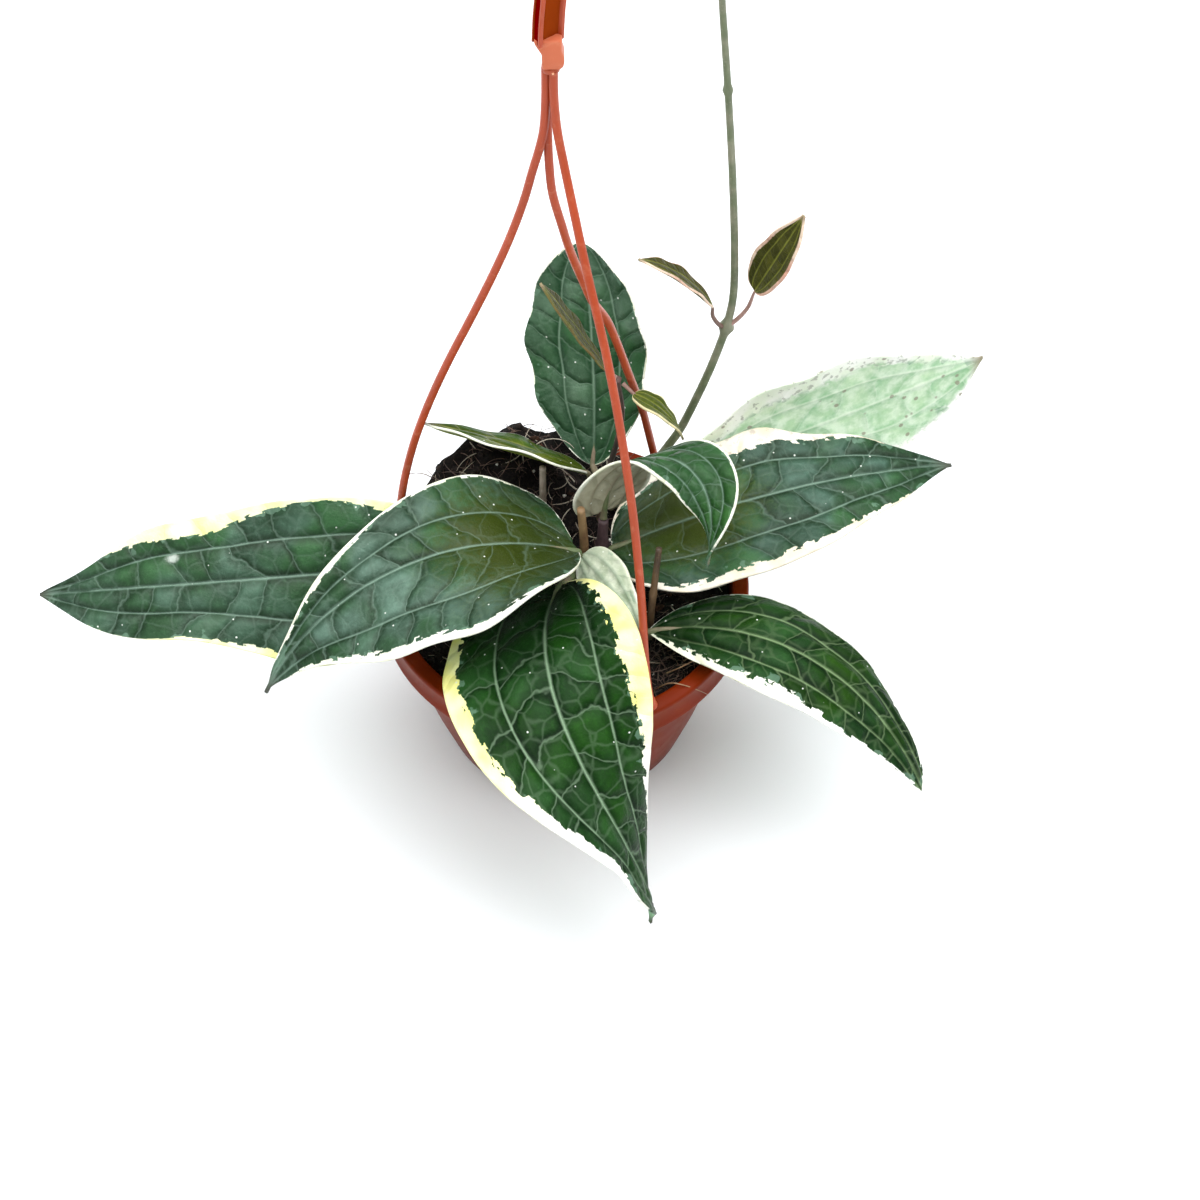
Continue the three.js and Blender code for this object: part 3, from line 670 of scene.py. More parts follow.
ARMS = [
    {
        "azimuth": 170, "top": [(-3.3, 0.2, 291.5), (-3.5, 0.2, 279), (-4.2, 0.3, 268), (-5.4, 0.5, 261)],
        "way": [
            (6.6, 251.5), (9.3, 239.2), (14.1, 222), (20, 204.2), (26.7, 185.7), (33.8, 166.6), (40.4, 147),
            (46.1, 127), (50.4, 106.7), (53.6, 84),
        ],
    },
    {
        "azimuth": 58,
        "top": [(-3, 1.9, 291.5), (-3.1, 1.9, 276), (-3.1, 1.9, 266), (-2.9, 1.9, 255), (-2.1, 2, 242)],
        "way": [
            (3.3, 226.6), (5.3, 219.5), (8.8, 209), (14.4, 194), (19, 182), (27.5, 165.5), (33, 151),
            (40.5, 129), (45, 116), (50, 101), (54.5, 84),
        ],
    },
    {
        "azimuth": -61.5,
        "top": [(-1.2, -0.9, 291.5), (-1.2, -1.1, 284), (-1, -1.3, 278), (-0.3, -2, 269.5)],
        "way": [
            (4.8, 260), (8.1, 252), (11.8, 243.3), (15.5, 234.5), (19.9, 225), (24.2, 216.5), (28.4, 208),
            (31.9, 199.7), (35.4, 190.5), (38.7, 180.3), (41.8, 169.7), (44.6, 159.4), (47.3, 148),
            (49.5, 136), (51.5, 123.8), (53.3, 110.7), (56.2, 84),
        ],
    },
]


def foot_of(arm):
    a = math.radians(arm["azimuth"])
    return FOOT_RADIUS * math.cos(a), FOOT_RADIUS * math.sin(a)


# Pot.

def build_pot():
    """One turned shell with a hollow rim band, closed below by a floor with drain holes."""
    top = POT_HEIGHT
    band = top - RIM_BAND
    plate = BASE_RADIUS - 4
    shell = [
        (plate, 0), (BASE_RADIUS - 1.2, 0), (BASE_RADIUS - 0.4, 0.3), (BASE_RADIUS, 1), (43.6, 9.5),
        (46.2, 18), (49, 28.5), (51.4, 38), (53.5, 47), (54.9, 52.6), (55.4, band - 1.6),
        (55.7, band - 0.6), (56.2, top - POT_WALL), (RIM_RADIUS - POT_WALL, top - POT_WALL),
        (RIM_RADIUS - POT_WALL, band + 0.4), (58.9, band + 0.1), (59.5, band), (RIM_RADIUS, band + 0.4),
        (RIM_RADIUS, band + 1.6), (59.75, band + 2.2), (59.75, top - 2.4), (RIM_RADIUS, top - 1.6),
        (59.9, top - 0.8), (59.6, top - 0.3), (59, top), (57.3, top), (55.8, top), (55.1, top - 0.15),
        (54.7, top - 0.5), (LIP_RADIUS, top - 1.2), (54, band), (52, 46.5), (50, 38), (47.4, 28),
        (44.8, 18), (42.1, 9.5), (BASE_RADIUS - POT_WALL, 3.2), (BASE_RADIUS - POT_WALL - 0.5, 2.2),
        (BASE_RADIUS - POT_WALL - 1.4, POT_FLOOR), (plate, POT_FLOOR),
    ]
    bm = new_bmesh()
    spun(bm, shell, POT_STEPS)
    rims = [e for e in bm.edges if e.is_boundary and e.verts[0].co.z < 0.5]
    for i in range(DRAIN_HOLES):
        turn = (i + 0.5) * math.tau / DRAIN_HOLES
        at = Matrix.Translation((DRAIN_HOLE_CIRCLE * math.cos(turn), DRAIN_HOLE_CIRCLE * math.sin(turn), 0))
        bmesh.ops.create_circle(bm, segments=DRAIN_HOLE_STEPS, radius=DRAIN_HOLE_RADIUS, matrix=at)
    holes = [e for e in bm.edges if e.is_wire]
    floor = bmesh.ops.triangle_fill(bm, use_beauty=True, edges=rims + holes)["geom"]
    floor = [f for f in floor if isinstance(f, bmesh.types.BMFace)]
    lifted = bmesh.ops.duplicate(bm, geom=floor)["geom"]
    raised = [v for v in lifted if isinstance(v, bmesh.types.BMVert)]
    bmesh.ops.translate(bm, vec=(0, 0, POT_FLOOR), verts=raised)
    bmesh.ops.remove_doubles(bm, verts=bm.verts, dist=1e-4)
    bmesh.ops.bridge_loops(bm, edges=[e for e in bm.edges if e.is_boundary], use_pairs=True)
    bmesh.ops.recalc_face_normals(bm, faces=bm.faces)
    finish = plastic_finish("pot_plastic", "6e2000", "84461a", 1.0)
    piece = finish_piece("pot_shell", bm, [finish], ["pot"])
    piece.data.set_sharp_from_angle(angle=math.radians(38))


# Soil: the crumbled surface and the body under it.

def soil_finish(name, deep, light, scale=1.0):
    """Crumbly mix: fine grain, dark clumps and thin brown strands."""
    material, n, shader = finish_of(name, Roughness=0.94, Specular_IOR_Level=0.25)
    place = n.place()
    grain = n.noise(place, 900.0 * scale, 5.0, 0.7)
    clump = n.noise(place, 230.0 * scale, 4.0, 0.6)
    gap = n.cells(place, 420.0 * scale, "DISTANCE_TO_EDGE")["Distance"]
    strand = n.step(gap, 0.0, 0.045, 1.0, 0.0)
    tone = n.mix(n.step(grain, 0.42, 0.72), color(deep), color(light))
    tone = n.mix(n.step(clump, 0.5, 0.75, 0.0, 0.5), tone, color("080605"))
    tone = n.mix(n.times(strand, 0.3), tone, color("3c2e28"))
    n.join(tone, shader.inputs["Base Color"])
    height = n.plus(grain, n.times(clump, 1.5))
    n.join(n.bump(height, 0.8, 0.0008), shader.inputs["Normal"])
    return material


def build_soil():
    body = [(0, 2.1), (20, 2.1), (38.2, 2.1), (44.2, 18), (49.4, 38), (53.2, 53)]
    surface = [(SOIL_RADIUS * (1 - i / SOIL_RINGS), SOIL_LEVEL) for i in range(SOIL_RINGS + 1)]
    bm = new_bmesh()
    spun(bm, body + surface, SOIL_STEPS)
    for v in bm.verts:
        if v.co.z > SOIL_LEVEL - 0.1:
            v.co.z = crumbled_level(v.co.x, v.co.y)
            v.co.z -= 1.2 * smoothstep(math.hypot(v.co.x, v.co.y), 50, SOIL_RADIUS)
    bmesh.ops.recalc_face_normals(bm, faces=bm.faces)
    mix = soil_finish("potting_mix", "0c0a0a", "261e1b")
    finish_piece("soil_body", bm, [mix], ["soil"])


def white_grain_finish():
    material, n, shader = finish_of("white_grain", Roughness=0.85)
    speckle = n.noise(n.place(), 1400.0, 3.0)
    n.join(n.mix(n.step(speckle, 0.4, 0.7), color("d9d6cc"), color("f4f2ea")), shader.inputs["Base Color"])
    n.join(n.bump(speckle, 0.7, 0.0004), shader.inputs["Normal"])
    return material


def soil_spot(rng, most):
    """A random spot on the soil, in millimetres."""
    r = most * math.sqrt(rng.random())
    a = rng.random() * math.tau
    x, y = r * math.cos(a), r * math.sin(a)
    return Vector((x, y, crumbled_level(x, y)))


def scattered_grains(name, count, sizes, finish, seed, most, squash=0.7):
    """Small uneven grains half sunk in the soil."""
    rng = random.Random(seed)
    bm = new_bmesh()
    for made in range(1, count + 1):
        at = soil_spot(rng, most)
        size = rng.uniform(*sizes)
        angle = rng.random() * math.tau
        turn = Matrix.Rotation(angle, 4, Vector((rng.random(), rng.random(), rng.random() + 0.1)))
        grow = Matrix.Diagonal((size, size * rng.uniform(0.6, 1.0), size * squash, 1))
        ball = bmesh.ops.create_icosphere(bm, subdivisions=2, radius=1, matrix=Matrix.Identity(4))["verts"]
        for v in ball:
            v.co *= 1 + 0.3 * noise.noise(v.co * 1.7 + Vector((made, 0, 0)))
        bmesh.ops.transform(bm, matrix=Matrix.Translation(at) @ turn @ grow, verts=ball)
    finish_piece(name, bm, [finish])


def scattered_fibres(name, count, lengths, radius, finish, seed, most=52.0, curl=1.0, lift=1.0, keep=None):
    """Fine curved fibres that lie on and stick out of the soil."""
    rng = random.Random(seed)
    bm = new_bmesh()
    made = 0
    while made < count:
        at = soil_spot(rng, most)
        if keep and not keep(at, rng):
            continue
        made += 1
        length = rng.uniform(*lengths)
        heading = rng.random() * math.tau
        slope = rng.uniform(0.0, 0.8) * lift
        bend = rng.uniform(-1.6, 1.6) * curl
        points = []
        p = at + Vector((0, 0, -0.4))
        for i in range(6):
            points.append(p.copy())
            share = i / 5
            angle = heading + bend * share
            p = p + Vector((math.cos(angle), math.sin(angle), slope * (1 - 1.6 * share))) * (length / 5)
            if math.hypot(p.x, p.y) < 52:
                p.z = max(p.z, crumbled_level(p.x, p.y) + 0.1)
        thick = radius * rng.uniform(0.6, 1.3)
        bar(bm, smooth_way(points, 7), round_section(lambda row, side: thick * (1 - 0.6 * row)), 4)
    close_ends(bm)
    finish_piece(name, bm, [finish])


# Single strands that lie over the rim and stand out of the mix: radius, angle and height of their points.
STRANDS = [
    [
        (49, -54, 60), (54, -51, 66.9), (57.5, -48, 66.6), (60.3, -45, 64), (60.4, -42, 59.5),
        (60.4, -40.5, 57),
    ],
    [(50, -64, 60), (54.5, -65, 67.4), (58.5, -67, 66.8), (60.3, -70, 63), (60.4, -72, 59)],
    [(48, -37, 61), (53, -32, 67.3), (57, -27, 66.6), (59.3, -22, 66.4)],
    [(47, -46, 61), (52, -45, 68), (55, -40, 70.5), (56.5, -36, 70)],
    [(50, -58, 61), (53.5, -60, 69), (56, -63, 72)],
    [(47, 158, 78), (52, 163, 84), (57, 168, 86), (62, 171, 84.5), (66, 173, 85.5)],
]


def build_litter():
    """What lies in the soil: crumbs, bark bits, brown fibres, pale roots and white grains."""

    def on_heap(at, rng):
        return at.y > 5 and at.x < 25 and rng.random() < 0.9 or rng.random() < 0.12

    def at_front_right(at, rng):
        return at.x > 14 and at.y < -20 and math.hypot(at.x, at.y) > 34

    crumb = soil_finish("dark_crumb", "141110", "40342f", 1.4)
    scattered_grains("soil_crumbs", 620, (0.5, 1.9), crumb, 11, most=52)
    bark = soil_finish("bark_bit", "2a1a12", "5a3a28", 1.2)
    scattered_grains("bark_bits", 90, (0.8, 2.4), bark, 12, most=50, squash=0.35)
    # White perlite grains, scattered thickly enough to stand in for the glints on the mix as well: partly
    # painted glints.
    scattered_grains("perlite_grains_and_glints", 120, (0.22, 0.8), white_grain_finish(), 13, most=50, squash=0.9)
    fibre = stem_finish("peat_fibre", "3a2a24", "7c6456", 0.7)
    scattered_fibres("peat_fibres", 620, (3.0, 12.0), 0.19, fibre, 14)
    scattered_fibres("rim_fibres", 110, (4.0, 11.0), 0.17, fibre, 16, curl=1.6, lift=1.8, keep=at_front_right)
    root = stem_finish("pale_root", "8e8272", "cfc6b6", 0.8)
    scattered_fibres("pale_roots", 90, (5.0, 16.0), 0.24, root, 15, most=50, curl=1.3, lift=0.5, keep=on_heap)
    bm = new_bmesh()
    for strand in STRANDS:
        way = [(r * math.cos(math.radians(a)), r * math.sin(math.radians(a)), z) for r, a, z in strand]
        bar(bm, smooth_way(way, 20), round_section(lambda row, side: 0.26 * (1 - 0.65 * row)), 6)
    close_ends(bm)
    dry = stem_finish("dry_strand", "7a5a3e", "b89a78", 0.7)
    finish_piece("dry_strands", bm, [dry])


# Hanger: three arms with their feet and pegs, joined by a plug; then the head, the strap and its hook.

def build_hanger():
    """The three arms with their feet, the plug that joins them and the pale stub left by its mould."""
    finish = plastic_finish("hanger_plastic", "a84628", "dc9c78", 1.3, 0.25, 0.04)
    gate = plastic_finish("hanger_gate", "e8b088", "f2d8c0", 1.3)
    bm = new_bmesh()

    def swell(row, side):
        near_foot = 0.25 * smoothstep(row, 0.965, 1)
        seam = 0.05 * abs(math.cos(side * math.tau)) ** 12
        return ARM_RADIUS - 0.05 + near_foot + seam

    for arm in ARMS:
        c, s = math.cos(math.radians(arm["azimuth"])), math.sin(math.radians(arm["azimuth"]))
        x, y = foot_of(arm)
        way = [(r * c - 1, r * s, z) for r, z in arm["way"]]
        points = [*arm["top"], *way, (x, y, POT_HEIGHT + 1.2)]
        bar(bm, smooth_way(points, ARM_ROWS), round_section(swell), ARM_SIDES)
    close_ends(bm)
    foot = [
        (0, -4.8), (0.5, -4.7), (0.85, -4.2), (0.9, -3.4), (0.9, 0.35), (2.0, 0.35), (2.3, 0.6), (2.3, 1.1),
        (2.05, 1.6), (1.75, 2.6), (1.5, 3.8), (1.2, 4.6), (0, 4.9),
    ]
    for arm in ARMS:
        x, y = foot_of(arm)
        add_to(bm, turned_piece(foot, 28, (x, y, POT_HEIGHT)))
    r = PLUG_RADIUS
    plug = [(0, -3.7), (r - 0.5, -3.6), (r - 0.1, -3.3), (r, -2.9), (r, -1.7), (r - 0.2, -1.4), (0, -1.3)]
    add_to(bm, turned_piece(plug, 40, (PLUG_X, PLUG_Y, HEAD_LEVEL)))
    stub_profile = [(0, -0.3), (0.3, -0.2), (0.34, 0), (0.3, 0.2), (0, 0.3)]
    stub = turned_piece(stub_profile, 12, (-1.3, -2.15, HEAD_LEVEL - 2.6))
    for face in stub.faces:
        face.material_index = 1
    add_to(bm, stub)
    arms = finish_piece("hanger_arms_shape", bm, [finish, gate], ["hanger_arms"])
    arms.data.set_sharp_from_angle(angle=math.radians(50))
    build_strap(finish)


def turned_piece(profile, steps, at):
    """A turned piece that stands at the given place."""
    turned = bmesh.new()
    spun(turned, profile, steps)
    bmesh.ops.recalc_face_normals(turned, faces=turned.faces)
    bmesh.ops.translate(turned, vec=at, verts=turned.verts)
    return turned


def head_block():
    """The rounded block under the strap, narrow below and wider to the left where the strap stands on it."""
    low = HEAD_LEVEL - 1
    outline = [
        (-3.1, low), (1.9, low), (2.8, low + 0.9), (3.1, low + 2.2), (3, low + 4.5), (2.4, low + 6.4),
        (2.5, low + 10.5), (-5.2, low + 10.5), (-5, low + 9), (-3.1, low + 5.2),
    ]
    block = bmesh.new()
    corners = [block.verts.new((HEAD_X + x, -HEAD_DEPTH / 2, z)) for x, z in outline]
    front = bmesh.ops.contextual_create(block, geom=corners)["faces"]
    raised = bmesh.ops.extrude_face_region(block, geom=front)["geom"]
    back = [v for v in raised if isinstance(v, bmesh.types.BMVert)]
    bmesh.ops.translate(block, vec=(0, HEAD_DEPTH, 0), verts=back)
    bmesh.ops.recalc_face_normals(block, faces=block.faces)
    bmesh.ops.bevel(
        block,
        geom=block.edges[:],
        offset=HEAD_ROUNDING,
        segments=4,
        profile=0.5,
        affect="EDGES",
        material=-1,
        clamp_overlap=True,
    )
    # The head takes the lighter copy of the hanger plastic: painted light on its lit front.
    for face in block.faces:
        face.material_index = 2
    return block


def add_to(bm, other):
    """Adds a second bmesh's geometry to the first."""
    mesh = bpy.data.meshes.new("part")
    other.to_mesh(mesh)
    other.free()
    bm.from_mesh(mesh)
    bpy.data.meshes.remove(mesh)


def build_strap(finish):
    """The strap above the head and its hook: a strip that leans a little, hollow between raised edges."""
    top = HOOK_LEVEL - HOOK_RADIUS
    points = []
    for z in range(STRAP_START, top - 4, 8):
        points.append((STRAP_LEAN * smoothstep(z, STRAP_START, HEAD_LEVEL + 30), 0, z))
    for a in range(180, -25, -17):
        reach = STRAP_LEAN + HOOK_RADIUS * (1 + math.cos(math.radians(a)))
        points.append((reach, 0, top + HOOK_RADIUS * math.sin(math.radians(a))))
    turn = Matrix.Rotation(math.radians(HOOK_AZIMUTH), 3, "Z")
    foot = Vector((STRAP_X, 0, 0))
    way = [turn @ p + foot for p in smooth_way(points, STRAP_ROWS)]
    w, t = STRAP_WIDTH / 2, STRAP_THICKNESS / 2
    lip, web, soft, sunk = w - 1.4, t - 1.1, 0.3, 0.4
    quarter = [
        (w - sunk, t - 0.9), (w, t - 0.7), (w, t - soft), (w - soft, t), (lip + soft, t), (lip, t - soft),
        (lip - 0.25, web + 0.2), (lip - 0.6, web),
    ]
    outline = [
        *quarter,
        *[(-u, v) for u, v in reversed(quarter)],
        *[(-u, -v) for u, v in quarter],
        *[(u, -v) for u, v in reversed(quarter)],
    ]
    count = len(outline)

    def section(row, side):
        u, v = outline[round(side * count) % count]
        narrow = 1 - 0.12 * smoothstep(row, 0.93, 1)
        return u * narrow, v * narrow

    bm = new_bmesh()
    bar(bm, way, section, count, turn @ Vector((1, 0, 0)))
    close_ends(bm)
    across = turn @ Vector((0, 1, 0))
    # Faces in the groove and in the hollows take darker copies of the hanger plastic: painted shade in the
    # recesses.
    for face in bm.faces:
        off = abs((face.calc_center_median() - foot).dot(across))
        in_groove = off < 0.5 and len(face.verts) == 4
        face.material_index = 3 if in_groove else 1 if off < t - 0.7 else 0
    add_to(bm, head_block())
    # The hollow and groove finishes are the hanger plastic made darker, as painted shade.
    hollow = plastic_finish("hanger_hollow_painted_shade", "86340c", "964614", 1.3, shine=0.0)
    # The head finish is the hanger plastic made lighter, as painted light.
    head = plastic_finish("hanger_head_painted_light", "c46a4a", "dc9c7c", 1.3, 0.1, 0.04)
    groove = plastic_finish("hanger_groove_painted_shade", "700000", "780600", 1.3, shine=0.0)
    finishes = [finish, hollow, head, groove]
    strap = finish_piece("hanger_strap", bm, finishes, ["hanger_hook"])
    strap.data.set_sharp_from_angle(angle=math.radians(35))


# Stems: the way of the middle line, the radius at each end, and the swollen nodes.
STEMS = {
    "stem_front": {
        "path": [(6.5, 4, 42), (6.5, 4, 60), (6.4, 5, 70), (6.3, 6, 80), (5.4, 5.5, 96)],
        "radii": (1.8, 1.3), "nodes": [(6.4, 5, 70, 2.3)], "skin": ("6e5238", "a98a62", 0.6),
        "slot": "brown_stem",
    },
    "stem_middle": {
        "path": [(12.6, 10.6, 42), (12.6, 10.6, 60), (12.3, 11, 72), (12.6, 12.3, 82.4)],
        "radii": (2.3, 1.7), "nodes": [(12.4, 10.9, 71, 2.6)], "skin": ("3a2a2e", "5f4a4c", 0.7),
        "slot": "brown_stem",
    },
    "stem_rear": {
        "path": [(12, 26, 44), (12, 26, 64), (11.4, 27.5, 76), (10.6, 31, 80)], "radii": (1.9, 1.5),
        "nodes": [(11.5, 27.3, 75, 2.2), (10.6, 31, 80, 2.0)], "skin": ("4c3c30", "7d6a55", 0.6),
        "slot": "brown_stem",
    },
    "young_shoot": {
        "path": [(13.4, 31, 80.2), (15, 32, 88), (17, 33, 97), (18.6, 33.6, 111), (17, 34, 126.5)],
        "radii": (1.0, 0.8), "nodes": [(17, 34, 126.5, 1.5)], "skin": ("3c3430", "86625c", 0.5),
        "slot": "brown_stem",
    },
    "climbing_stem": {
        "path": [
            (28.5, 40.5, 49), (28.5, 40.5, 62), (29.6, 41.2, 76), (34, 41, 86), (37.5, 40, 95),
            (42, 39, 110), (46.7, 38, 127.5), (51, 38, 146), (52.8, 38, 160), (52.7, 38, 178),
            (51.1, 38, 211), (48.6, 38, 247.5), (45.9, 38, 282), (44.6, 38, 300),
        ],
        "radii": (1.5, 1.0), "nodes": [(51, 38, 146, 2.7), (48.6, 38, 247.5, 1.7)],
        "skin": ("5f6a4c", "938f7c", 0.55), "slot": "green_stem",
    },
    "cut_stem_right": {
        "path": [(27.5, -17, 44), (27.5, -17, 60), (28, -17.4, 74), (30.2, -10.5, 96)], "radii": (1.5, 1.0),
        "nodes": [(28.5, -16.2, 80, 1.5)], "skin": ("3c2c1c", "6f5638", 0.6), "slot": "dry_stem",
    },
    "dry_stem_left": {
        "path": [(-7.2, 22, 50), (-7.2, 22, 68), (-7, 23, 96)], "radii": (1.3, 1.1), "nodes": [],
        "skin": ("7d7264", "b3a898", 0.6), "slot": "dry_stem",
    },
}


def build_stem(name, stem):
    """A stem along its way, swollen at its nodes and a little uneven all round."""
    start, end = stem["radii"]
    rows = max(40, 9 * len(stem["path"]))
    way = smooth_way(stem["path"], rows)
    swells = []
    for x, y, z, r in stem["nodes"]:
        nearest = min(range(rows + 1), key=lambda i: (way[i] - Vector((x, y, z))).length)
        swells.append((way[nearest], r))

    def radius_at(row, side):
        p = way[round(row * rows)]
        r = start + (end - start) * row
        for at, size in swells:
            near = math.exp(-(((p - at).length / (size * 0.8)) ** 2))
            r += (size * 0.96 - r) * near
        around = (math.cos(side * math.tau), math.sin(side * math.tau), row * rows * 0.35)
        return r * (1 + 0.05 * noise.noise(Vector(around) * 1.3)) * STEM_INSIDE

    bm = new_bmesh()
    bar(bm, way, round_section(radius_at), STEM_SIDES)
    close_ends(bm)
    finish = stem_finish(name + "_skin", *stem["skin"])
    finish_piece(name + "_skin", bm, [finish], [name])


